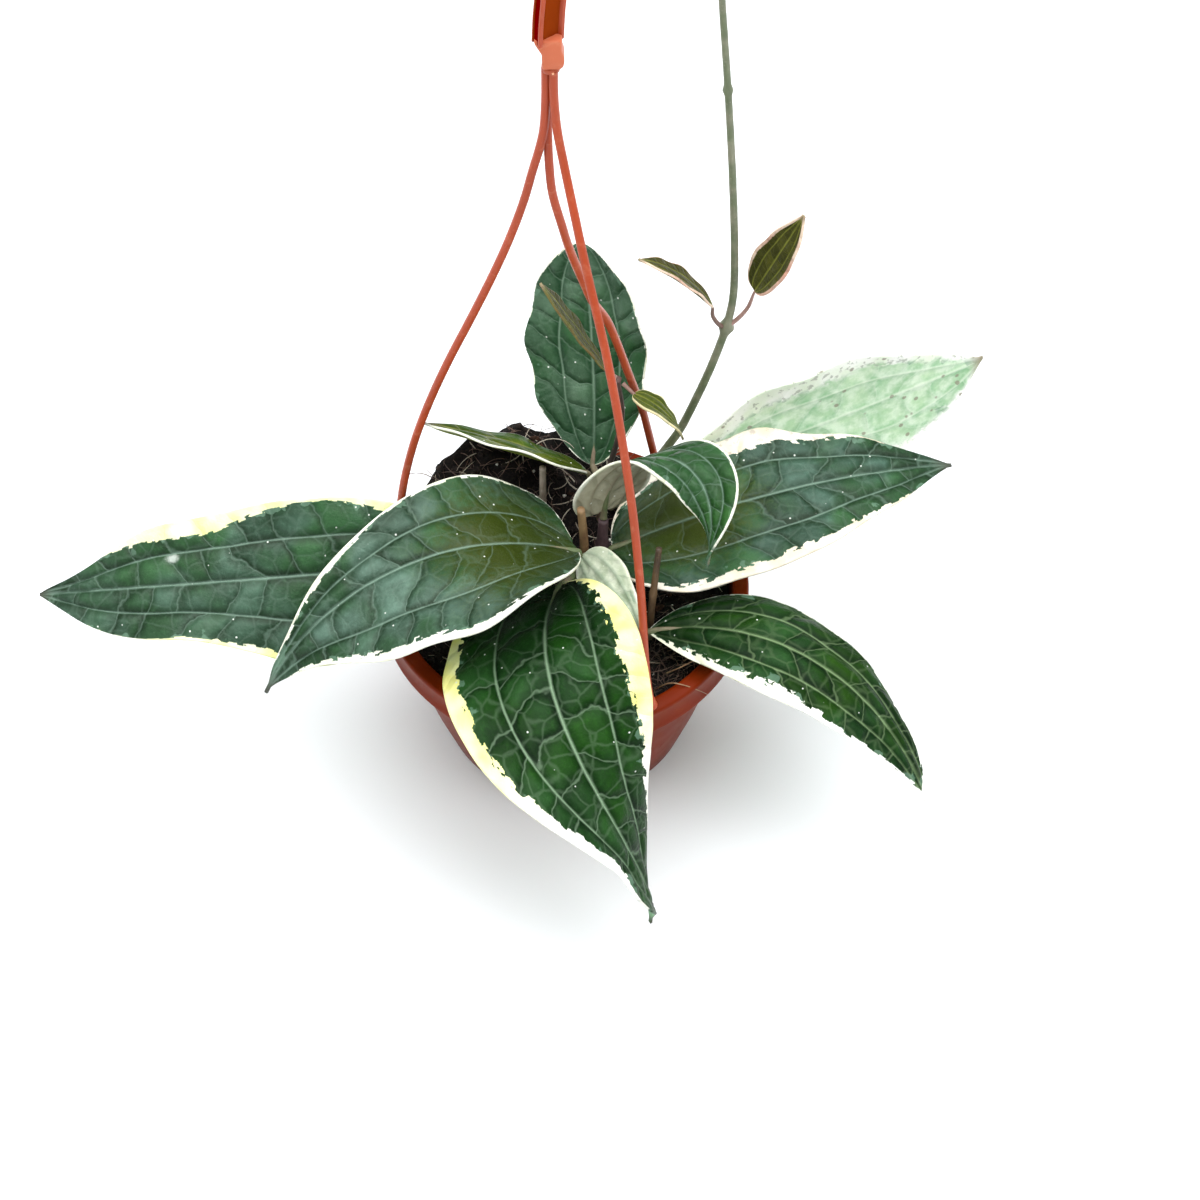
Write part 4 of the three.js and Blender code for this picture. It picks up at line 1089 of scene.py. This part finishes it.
# Leaves, by the rule of the frame, in millimetres and degrees. The midrib starts at base.
# bend = its heading, how far that turns, its rise and how far that droops;
# roll = the blade's roll about the midrib and its twist towards the tip; cup = the arch across it;
# outline = where it is widest, how full the tip is, and how far each half leans and is wider;
# wave, edge = depth, count and phase of the waves in the face and in the outline;
# stalk = the stalk's way up to base; trim = the two halves' widths, compared with that outline.
LEAVES = {
    "leaf_left_rear": {
        "base": (-36, -8, 86), "length": 140, "width": 52, "bend": (196, -34, 11, 38), "roll": (-48, 18),
        "cup": -5, "outline": (0.32, 0.8, -0.04, 0.04), "wave": (1.8, 3.2, 0.4), "edge": (2.6, 2.0, 3.2),
        "stalk": [(4.1, 3.1, 65.6), (-8, 0, 74), (-24, -5, 81.5)], "stalk_radius": 1.5,
        "trim": (
            [1, 1, 1.08, 1.05, 0.99, 0.9, 0.87, 0.88, 0.93, 1.02, 1.07, 1.06, 0.94, 0.76, 0.58, 0.5, 0.6],
            [1, 1, 1, 1, 1, 1, 0.99, 0.97, 0.98, 0.97, 0.95, 0.95, 0.94, 0.97, 0.98, 0.9, 0.8],
        ),
    },
    "leaf_left_front": {
        "base": (4.5, -7.2, 90), "length": 124, "width": 68, "bend": (190, 21.5, 35, 98), "roll": (24, -62),
        "cup": -20, "outline": (0.26, 1.55, 0.09, 0.14), "wave": (1.2, 3.5, 2.1), "edge": (0.7, 3.1, 0.5),
        "stalk": [(4.6, 2.4, 74.5), (1.6, -2.4, 82.5)], "stalk_radius": 1.5,
        "trim": (
            [1, 1, 1, 1, 1, 1, 1, 1, 1, 1, 1, 1, 1, 1.05, 1.25, 1.7, 2],
            [1, 1, 1, 1, 1, 1, 1, 1, 1, 1, 1, 1, 1, 1, 1.08, 1.2, 1.2],
        ),
    },
    "leaf_front": {
        "base": (-1, -16, 84), "length": 143, "width": 66, "bend": (-110.5, 105, 27, 121),
        "roll": (36, -72), "cup": -5, "outline": (0.28, 1.3, 0.04, -0.06), "wave": (1.4, 3.5, 0.8),
        "edge": (0.8, 3.3, 1.2), "stalk": [(5.4, 1.6, 71), (3.6, -5, 76), (1.2, -11, 81)],
        "stalk_radius": 1.6,
        "trim": (
            [
                1.14, 1.09, 1.03, 0.98, 0.96, 0.94, 0.95, 0.98, 0.97, 0.9, 0.82, 0.79, 0.84, 1.3, 1.6, 1.35,
                0.95,
            ],
            [0.94, 0.97, 1.01, 1.02, 1, 0.97, 0.98, 1, 0.96, 0.89, 0.91, 1.06, 1.2, 1.1, 1.05, 1, 0.9],
        ),
    },
    "leaf_right_front": {
        "base": (27, -24, 70), "length": 117, "width": 39, "bend": (-4.8, -48, 26, 85), "roll": (6, -23),
        "cup": 20, "outline": (0.4, 1.28, 0, 0.04), "wave": (1.2, 3.2, 1.9), "edge": (0.6, 3.4, 0.3),
        "stalk": [(27.3, -20.2, 63), (26.8, -22, 66.5)], "stalk_radius": 1.4,
        "trim": (
            [0.9, 0.94, 0.95, 0.96, 1, 1, 0.98, 0.99, 1.03, 1.07, 1.08, 1.06, 1.05, 1.08, 1.2, 1.5, 1.6],
            [1, 1.02, 0.99, 0.96, 0.92, 0.91, 0.93, 0.9, 0.84, 0.82, 0.83, 0.86, 0.87, 0.92, 1.1, 1.4, 1.6],
        ),
    },
    "leaf_right": {
        "base": (15.4, 7, 74), "length": 119.6, "width": 57, "bend": (9.7, 11.6, 25.9, 46.5),
        "roll": (-4, 17), "cup": -4, "outline": (0.3, 1.09, 0.01, -0.06), "wave": (1.3, 4.2, 0.2),
        "edge": (0.8, 3.6, 2.0), "stalk": [(13.2, 7.2, 66.5), (13.6, 6.3, 70.5)], "stalk_radius": 1.4,
    },
    "leaf_right_rear": {
        "base": (31, 39, 70.6), "length": 117, "width": 54, "bend": (12, 14.5, 15.2, 12), "roll": (-88, -8),
        "cup": 5, "outline": (0.58, 1.18, 0.12, 0), "wave": (1.2, 3.5, 1.1), "edge": (0.8, 3.1, 0.9),
        "stalk": [(14.4, 28.8, 69), (21, 33, 68.6), (27, 36.6, 69)], "stalk_radius": 1.4,
    },
    "leaf_rear_upright": {
        "base": (9.2, 37.9, 79.5), "length": 76, "width": 42.5, "bend": (85.5, 20, 50.7, -16),
        "roll": (-12, -32), "cup": -14, "outline": (0.53, 0.6, 0, 0.05), "wave": (1.0, 3.5, 0.3),
        "edge": (0.6, 3.5, 1.5), "stalk": [(10.6, 33.4, 79.8)], "stalk_radius": 1.2,
    },
    "leaf_rear_left": {
        "base": (7.4, 26.6, 89), "length": 56, "width": 32, "bend": (170.4, -10.3, 19.7, 22.2),
        "roll": (42.6, 0.6), "cup": -12, "outline": (0.42, 0.9, 0.02, 0.03), "wave": (0.6, 2.5, 0.6),
        "edge": (0.4, 2.5, 0), "stalk": [(9.5, 29.4, 81.7), (8.4, 27.6, 85.6)], "stalk_radius": 1.1,
    },
    "leaf_twisted": {
        "base": (12.8, 13.2, 86), "length": 79, "width": 30, "bend": (54, -177, 88, 173),
        "roll": (-117, 211), "cup": 0, "outline": (0.24, 0.9, 0.03, 0.1), "wave": (0.5, 3.5, 0.3),
        "edge": (0.3, 3, 0), "stalk": [(12.6, 12.6, 83)], "stalk_radius": 1.2,
    },
    "leaf_small_pale": {
        "base": (5.7, -0.8, 80), "length": 36.6, "width": 17, "bend": (-56.8, -3.7, 12.5, 24),
        "roll": (202, 12), "cup": 16, "outline": (0.37, 0.92, 0.06, 0.02), "wave": (0.3, 2.5, 0),
        "edge": (0.2, 3, 0), "stalk": [(9.2, 5.2, 74), (7.4, 1.6, 78)], "stalk_radius": 1.0,
    },
    "new_leaf_vine_left": {
        "base": (46.1, 32.4, 162), "length": 35.5, "width": 13, "bend": (187.3, 11.8, 59.6, 22.9),
        "roll": (11, 0), "cup": -21, "outline": (0.41, 0.9, 0, 0), "wave": (0.3, 3, 0), "edge": (0.2, 3, 0),
        "stalk": [(50.4, 37.5, 146.8), (48.6, 36.2, 149.6), (46.6, 34.6, 155)], "stalk_radius": 0.8,
    },
    "new_leaf_vine_right": {
        "base": (59.3, 35, 166), "length": 39.4, "width": 14, "bend": (-18.9, 4, 69.5, 0),
        "roll": (45, 20.6), "cup": -31, "outline": (0.36, 0.87, -0.05, 0), "wave": (0.3, 3, 1),
        "edge": (0.2, 3, 0), "stalk": [(51.4, 37.8, 147), (54.2, 37.3, 150.6), (57.4, 36.4, 157)],
        "stalk_radius": 0.8,
    },
    "new_leaf_shoot_left": {
        "base": (13.4, 31.1, 134), "length": 47.7, "width": 14, "bend": (195.2, -9.4, 63.7, -2),
        "roll": (2.8, 0), "cup": -16.6, "outline": (0.43, 0.9, 0, 0), "wave": (0.3, 3, 0),
        "edge": (0.2, 3, 0), "stalk": [(16.3, 33.4, 128.1)], "stalk_radius": 0.7,
    },
    "new_leaf_shoot_right": {
        "base": (22.3, 30.7, 123), "length": 23.5, "width": 11.5, "bend": (-27.8, 1.7, 6.1, 82.9),
        "roll": (-15, -29), "cup": 0, "outline": (0.35, 0.89, 0, 0), "wave": (0.3, 3, 0),
        "edge": (0.2, 3, 0), "stalk": [(18.75, 33.1, 125.4)], "stalk_radius": 0.7,
    },
}

# How each leaf looks. pale is the width of the pale margin in millimetres from base to tip, on the side
# where the across share is negative and on the side where it is positive. Colours: deep, light and patch
# of the flesh, with light laid on as painted sheen on the swellings and deep as painted shade by the veins
# and towards the base; vein, the same for the underside, flush, creams, blotch and speck. rib is the ribs'
# half width, ribs and net how strongly ribs and fine veins show, cells and spacing how close they lie, quilt
# the relief, ragged and soft the margin's inner edge, shift what sets one leaf's pattern apart.
PLAIN = {
    "shine": 0.2, "rib": 0.75, "ribs": 0.7, "net": 0.5, "cells": 0.12, "spacing": 13.5, "quilt": 0.3,
    "patch": None, "mottle": 0, "painted_base_shade": 0.0, "halo": 0.5, "ragged": 2.2, "soft": 0.14,
    "under_soft": 0.9, "shift": 0.0, "flush": "414d10", "flush_share": 0.9, "flush_spot": None,
    "cream": "f4f5e8", "cream_deep": "e9ecd2", "cream_far": None, "blotch": "a89a90", "blotches": (0, 0),
    "speck": "e9efe6", "specks": 0.2, "speck_size": 0.13, "tip_color": "3a3128", "tip_dark": 0.8,
    "tip_reach": 7.0, "stalk_skin": ("5b6a45", "8a6a62", 0.55),
}
GLAUCOUS = {
    **PLAIN, "deep": "132b16", "light": "4f6e5b", "vein": "8daa98", "patch": "3a643d", "under": "8fb79a",
    "under_light": "b2d6b4", "under_vein": "5f8f6c", "slot": "variegated_leaf", "ribs": 0.55, "net": 0.36,
    "rib": 0.62, "painted_base_shade": 0.4,
}
FOREST = {
    **PLAIN, "deep": "041c05", "light": "1f4a12", "vein": "8fb488", "patch": "2a5226", "under": "86ae88",
    "under_light": "a9cfae", "under_vein": "5a8a5e", "slot": "variegated_leaf", "shine": 0.08, "ribs": 0.5,
    "net": 0.36, "rib": 0.66, "painted_base_shade": 0.75,
}
NEW = {
    **PLAIN, "deep": "33350f", "light": "5e6022", "vein": "8f9440", "under": "474b1e",
    "under_light": "62662c", "under_vein": "8a8a48", "cream": "e3cdb6", "cream_deep": "c99a86", "halo": 0.0,
    "ribs": 0.7, "net": 0.3, "specks": 0.03, "rib": 0.4, "ragged": 0.4, "soft": 0.1, "slot": "new_leaf",
    "quilt": 0.08, "spacing": 5.0, "cells": 0.3, "shine": 0.1, "under_soft": 0.1, "tip_reach": 3.0,
    "tip_color": "9a8a70", "stalk_skin": ("8c6c62", "b8948a", 0.6),
}
LOOKS = {
    "leaf_left_rear": {
        **GLAUCOUS,
        "pale": ([1.0, 3.0, 0.8, 2.6, 5.6, 3.4, -0.8, -1], [1.0, 4.5, 3.6, 2.4, 1.4, 0.3, 0.0, -1]),
        "shift": 3.0, "quilt": 0.5, "ragged": 1.3, "cream": "f0f0cc", "cream_deep": "e8eca0",
        "flush_spot": (0.64, -0.42, 0.016, 0.07), "flush_share": 0.6, "flush": "dfe8df",
    },
    "leaf_left_front": {
        **GLAUCOUS, "light": "5f7d6d", "flush": "333f06",
        "pale": ([0.3, 0.6, 0.7, 0.8, 1.1, 1.2, 0.5, -1], [0.4, 1.2, 2.8, 3.8, 4.0, 2.6, 0.9, -1]),
        "flush_spot": (0.16, 0.0, 0.24, 1.0), "flush_share": 1.0, "shift": 17.0, "quilt": 0.4,
        "tip_reach": 10.0,
    },
    "leaf_front": {
        **FOREST,
        "pale": ([0.8, 3.6, 5.2, 4.6, 3.8, 2.9, -0.2, -1.5], [1.5, 6.5, 7.5, 5.6, 2.6, 1.2, -0.6, -1.5]),
        "cream": "fbf9bc", "cream_deep": "f5f08c", "cream_far": "fafaf0", "shift": 31.0, "quilt": 0.5,
        "vein": "a0c09c", "net": 0.4, "ribs": 0.55,
    },
    "leaf_right_front": {
        **FOREST,
        "pale": ([0.6, 2.6, 3.4, 3.8, 2.4, 0.8, 0.6, 2.5], [0.2, 0.3, 0.3, 0.3, 0.4, 0.5, 0.6, 2.5]),
        "shift": 47.0, "quilt": 0.45, "tip_dark": 0.0, "vein": "9dbb88", "cream_far": "fafaf2",
        "light": "24480c",
    },
    "leaf_right": {
        **GLAUCOUS, "light": "4b6a5b",
        "pale": ([0.6, 2.4, 3.6, 4.0, 3.4, 1.6, 0.2, -1.5], [1.0, 4.5, 7.0, 7.0, 4.4, 0.9, 0.0, -1.5]),
        "flush_spot": (0.2, 0.1, 0.22, 0.8), "blotches": (0.0, 0.6), "shift": 59.0, "quilt": 0.4,
        "cream": "ede9da", "cream_deep": "e0d4ba", "tip_reach": 9.0,
    },
    "leaf_right_rear": {
        **GLAUCOUS, "pale": ([3.0, 8.0, 8.0, 6.0, 3.0, 1.0], [1.0, 3.0, 4.0, 4.5, 3.0, 1.0]),
        "under_soft": 1.6, "under": "8ab68a", "under_light": "bcd8b0", "under_vein": "e2ecd8",
        "cream": "f2f5ec", "cream_deep": "e0ecd4", "blotches": (0.7, 0.3), "blotch": "94988a",
        "speck": "8a8674", "specks": 0.2, "speck_size": 0.36, "mottle": 0.5, "mottle_color": "eef5e6",
        "shift": 71.0, "quilt": 0.25, "tip_color": "7a6a48",
    },
    "leaf_rear_upright": {
        **GLAUCOUS, "deep": "1c3f24", "light": "5d7a62", "vein": "8fac94",
        "pale": ([0.2, 0.3, 0.4, 0.3, 0.3, 0.6], [0.2, 0.2, 0.1, 0.0, 0.4, 0.8]), "shift": 83.0,
        "quilt": 0.3, "spacing": 8.5, "net": 0.35, "specks": 0.5, "tip_dark": 0.0,
    },
    "leaf_rear_left": {
        **FOREST, "deep": "333f06", "light": "66761a", "under": "66722c", "under_light": "7d8a3a",
        "under_vein": "a9ab62", "vein": "a9ab62",
        "pale": ([0.1, 0.1, 0.2, 0.2, 0.1, 0.1], [0.2, 0.5, 0.6, 0.6, 0.5, 0.3]), "shift": 97.0,
        "ragged": 0.6, "cells": 0.2,
    },
    "leaf_twisted": {
        **GLAUCOUS, "deep": "173d15", "light": "3f7436",
        "pale": ([0.5, 1.0, 1.2, 0.8, 0.4, -0.5], [0.5, 1.0, 1.1, 0.7, 0.4, -0.5]), "shift": 103.0,
        "ragged": 1.0, "under": "8d8b74", "under_light": "cbc8b0", "under_vein": "6f5f50", "spacing": 7.0,
        "cells": 0.16, "tip_dark": 0.0,
    },
    "leaf_small_pale": {
        **GLAUCOUS, "under": "98a68c", "under_light": "c6d0b4", "under_vein": "7d927c", "mottle": 0.6,
        "mottle_color": "e2e6d4", "pale": ([0.3, 0.4, 0.5, 0.5, 0.4, 0.3], [0.4, 0.9, 1.2, 1.0, 0.8, 0.4]),
        "shift": 113.0, "spacing": 6.0, "cells": 0.2, "specks": 0.1,
    },
    "new_leaf_vine_left": {
        **NEW, "pale": ([0.1, 0.15, 0.2, 0.2, 0.15, 0.1], [0.1, 0.2, 0.3, 0.3, 0.2, 0.1]),
        "light": "544e22", "stalk_skin": ("5e4840", "8a6c62", 0.6),
    },
    "new_leaf_vine_right": {
        **NEW, "pale": ([0.4, 0.8, 0.8, 0.8, 0.7, 0.4], [0.4, 0.8, 1.0, 0.9, 0.7, 0.4]),
    },
    "new_leaf_shoot_left": {
        **NEW, "pale": ([0.1, 0.1, 0.1, 0.1, 0.1, 0.1], [0.1, 0.1, 0.1, 0.1, 0.1, 0.1]), "cream": "6e6a3c",
        "cream_deep": "7c5a40", "light": "4a4e1a",
    },
    "new_leaf_shoot_right": {
        **NEW, "pale": ([0.3, 0.4, 0.5, 0.5, 0.4, 0.3], [0.3, 0.5, 0.7, 0.6, 0.5, 0.3]), "deep": "3a4610",
        "light": "66722a", "cream": "e9e2b8", "cream_deep": "dccfa0",
    },
}


def leaf_section(leaf, t):
    """The midrib's point at t, and the directions across the blade and out of its upper face."""
    steps = 64
    centre = Vector(leaf["base"])
    heading, turn, rise, droop = leaf["bend"]
    roll, twist = leaf["roll"]

    def direction(u):
        h = math.radians(heading + turn * u)
        e = math.radians(rise - droop * u)
        return Vector((math.cos(e) * math.cos(h), math.cos(e) * math.sin(h), math.sin(e)))

    for i in range(steps):
        centre += direction((i + 0.5) / steps * t) * (leaf["length"] * t / steps)
    h = math.radians(heading + turn * t)
    level = Vector((-math.sin(h), math.cos(h), 0))
    up = direction(t).cross(level)
    r = math.radians(roll + twist * t)
    across = level * math.cos(r) + up * math.sin(r)
    face = up * math.cos(r) - level * math.sin(r)
    return centre, across, face


def half_width(leaf, t, sign):
    """The width of one half of the blade at t: sign is 1 or -1 for the two halves."""
    widest, fullness, lean, side = leaf["outline"]
    u = min(max(t, 1e-4), 1 - 1e-4)
    m = widest + sign * lean
    base = (u / m) ** (fullness * m / (1 - m))
    tip = ((1 - u) / (1 - m)) ** fullness
    trim = between(leaf["trim"][0 if sign < 0 else 1], u) if "trim" in leaf else 1
    return leaf["width"] / 2 * base * tip * (1 + sign * side) * trim


def leaf_point(leaf, section, t, v):
    """The blade's middle surface at t along and v across, its width there, and the way out of its face."""
    centre, across, face = section
    sign = 1 if v > 0 else -1
    half = half_width(leaf, t, sign)
    edge, edge_waves, edge_phase = leaf["edge"]
    wave, waves, phase = leaf["wave"]
    uneven = edge * math.sin(math.tau * edge_waves * t + edge_phase + (0.7 if v > 0 else 0))
    w = max(half + uneven * math.sin(math.pi * t), MARGIN_LEAST)
    k = math.radians(leaf["cup"] or 0.1)
    ripple = math.sin(math.tau * waves * t + phase + (1.3 if v > 0 else 0))
    share = 2 * half / leaf["width"]
    out = w * math.sin(k * v) / k
    rise = -w * (1 - math.cos(k * v)) / k + wave * ripple * abs(v) ** 2.5 * share
    normal = face * math.cos(k * v) + across * math.sin(k * v)
    return centre + across * out + face * rise, w, normal


def inside(p):
    """p, in millimetres, held half a blade's thickness inside the frame's box."""
    low, high = [[x / MM for x in corner] for corner in CAD_BOX]
    return Vector(min(max(p[i], low[i] + BLADE / 2), high[i] - BLADE / 2) for i in range(3))


def quilting(look, t, v, w, along, inset):
    """The face's lift and the veins' place, at t and along millimetres along, and v across a half w wide."""
    seed = look["shift"] or 5.0
    across = w * v
    band = 0 if abs(v) < 0.5 else 1
    side = 1 if v > 0 else 0
    side_rib = (abs(v) - 0.5) * w
    wander = 0.55 * noise.noise(Vector((along / 16, across / 16, seed + 7 * band + 3 * side)))
    reach = abs(across) * (0.55 if band == 0 else 0.75)
    count = (along - reach) / look["spacing"] + wander + 0.37 * side + 0.5 * band
    pillow = abs(math.sin(math.pi * ((count + 0.5) % 1.0))) ** 0.7
    pillow *= math.sin(math.pi * (abs(v) * 2 - band))
    fade = smoothstep(inset, 0, 5)
    lift = QUILT_HEIGHT * look["quilt"] * (pillow - 0.4) * fade
    lift -= MIDRIB_DEPTH * math.exp(-((across / 0.9) ** 2)) * fade
    lift -= SIDE_RIB_DEPTH * math.exp(-((side_rib / 0.8) ** 2)) * fade
    lift += LUMP_HEIGHT * rough((along, across, seed), LUMP_SIZE, 2) * smoothstep(inset, 0, 3)
    lift *= 1 - smoothstep(t, 0.93, 1)
    return lift, (across, side_rib, count)


def build_leaf(name, leaf):
    """One leaf: a grid laid along the midrib, with its relief and the attributes that its skin reads."""
    look = {**LOOKS[name], "length": leaf["length"]}
    rows, columns = (SMALL_ROWS, SMALL_COLUMNS) if leaf["length"] < SMALL_LENGTH else (ROWS, COLUMNS)
    bm = bmesh.new()
    bmesh.ops.create_grid(bm, x_segments=columns, y_segments=rows, size=1)
    ribs = bm.verts.layers.float_vector.new("ribs")
    edge = bm.verts.layers.float_vector.new("edge")
    blade = bm.verts.layers.float_vector.new("blade")
    spot = look["flush_spot"]
    sections = {}
    for vert in bm.verts:
        v, t = vert.co.x, (vert.co.y + 1) / 2
        row = round(t * rows)
        t = t * 0.998 + 0.001
        if row not in sections:
            sections[row] = leaf_section(leaf, t)
        p, w, normal = leaf_point(leaf, sections[row], t, v)
        along = leaf["length"] * t
        inset = (1 - abs(v)) * w
        tip_inset = (1 - t) * leaf["length"] * 0.5
        lift, vein_place = quilting(look, t, v, w, along, inset)
        vert.co = inside(p + normal * lift)
        side = 1 if v > 0 else 0
        flush = 0.0
        if spot:
            flush = math.exp(-(((t - spot[0]) / spot[2]) ** 2) - ((v - spot[1]) / spot[3]) ** 2)
        vert[ribs] = vein_place
        vert[edge] = (min(inset, tip_inset + 0.4), between(look["pale"][side], t), flush)
        vert[blade] = (along, w * v, look["blotches"][side])
    bmesh.ops.recalc_face_normals(bm, faces=bm.faces)
    finish_blade(name, bm, leaf, look)
    build_stalk(name, leaf, look)


def finish_blade(name, bm, leaf, look):
    """Gives the blade its thickness, its upper and lower finishes and its place in the frame."""
    centre, _, face = leaf_section(leaf, 0.5)
    nearest = min(bm.faces, key=lambda f: (f.calc_center_median() - centre).length_squared)
    if nearest.normal.dot(face) < 0:
        bmesh.ops.reverse_faces(bm, faces=bm.faces)
    upper = leaf_finish(name + "_upper", look)
    lower = leaf_finish(name + "_lower", look, True)
    piece = finish_piece(name + "_blade", bm, [upper, lower], [name])
    thick = piece.modifiers.new("thickness", "SOLIDIFY")
    thick.thickness = BLADE_SKIN * MM
    thick.offset = 0
    thick.material_offset = 1
    thick.material_offset_rim = 0


def build_stalk(name, leaf, look):
    """The leaf stalk, which runs on under the midrib and fades out there."""
    on_rib = [leaf_section(leaf, t) for t in (0.03, 0.07, 0.12)]
    sunk = [p - face * depth for (p, _, face), depth in zip(on_rib, (0.25, 0.45, 0.55))]
    way = smooth_way([*leaf["stalk"], leaf["base"], *sunk], STALK_ROWS)
    r = leaf["stalk_radius"]

    def radius_at(row, side):
        ease = smoothstep(row, 0.55, 1.0)
        foot = 0.12 * r * (1 - smoothstep(row, 0, 0.12))
        return (r * (1 - 0.35 * row) * (1 - ease) + 0.3 * ease + foot) * STALK_INSIDE

    bm = new_bmesh()
    bar(bm, way, round_section(radius_at), STALK_SIDES)
    close_ends(bm)
    skin = stem_finish(name + "_stalk", *look["stalk_skin"])
    finish_piece(name + "_stalk", bm, [skin])


# Stage: floor, light and camera.

def build_stage():
    bm = bmesh.new()
    bmesh.ops.create_grid(bm, x_segments=1, y_segments=1, size=4)
    mesh = bpy.data.meshes.new("floor")
    bm.to_mesh(mesh)
    bm.free()
    floor = bpy.data.objects.new("floor", mesh)
    bpy.context.scene.collection.objects.link(floor)
    white = (0.91, 0.93, 0.955, 1)
    material = finish_of("floor_white", Base_Color=white, Roughness=0.9, Specular_IOR_Level=0.1)[0]
    mesh.materials.append(material)
    world = bpy.data.worlds.new("soft_white")
    world.use_nodes = True
    background = world.node_tree.nodes["Background"]
    background.inputs["Color"].default_value = (0.97, 0.985, 1.0, 1)
    background.inputs["Strength"].default_value = 0.5
    bpy.context.scene.world = world
    # Each lamp's name, place, size and power.
    lamps = [
        ("sky_panel", (-0.05, 0.15, 1.6), 2.0, 42.0),
        ("window_panel", (-1.0, -0.5, 1.2), 0.9, 5.0),
        ("fill_panel", (1.0, -0.6, 1.1), 0.9, 7.0),
    ]
    for label, place, size, power in lamps:
        data = bpy.data.lights.new(label, "AREA")
        data.size = size
        data.energy = power
        lamp = bpy.data.objects.new(label, data)
        lamp.location = place
        lamp.rotation_euler = (Vector((0, 0, 0.1)) - Vector(place)).to_track_quat("-Z", "Y").to_euler()
        bpy.context.scene.collection.objects.link(lamp)


def build_camera():
    data = bpy.data.cameras.new("camera")
    data.sensor_width = SENSOR
    data.lens = FOCAL
    data.clip_start = 0.05
    data.clip_end = 20
    camera = bpy.data.objects.new("camera", data)
    e = math.radians(CAMERA_ELEVATION)
    camera.location = CAMERA_TARGET + Vector((0, -math.cos(e), math.sin(e))) * CAMERA_DISTANCE
    camera.rotation_euler = (math.radians(90) - e, 0, 0)
    bpy.context.scene.collection.objects.link(camera)
    bpy.context.scene.camera = camera


bpy.context.scene.view_settings.view_transform = "Standard"
build_camera()
build_pot()
build_soil()
build_litter()
build_hanger()
for stem_name, stem in STEMS.items():
    build_stem(stem_name, stem)
for leaf_name, leaf in LEAVES.items():
    build_leaf(leaf_name, leaf)
build_stage()
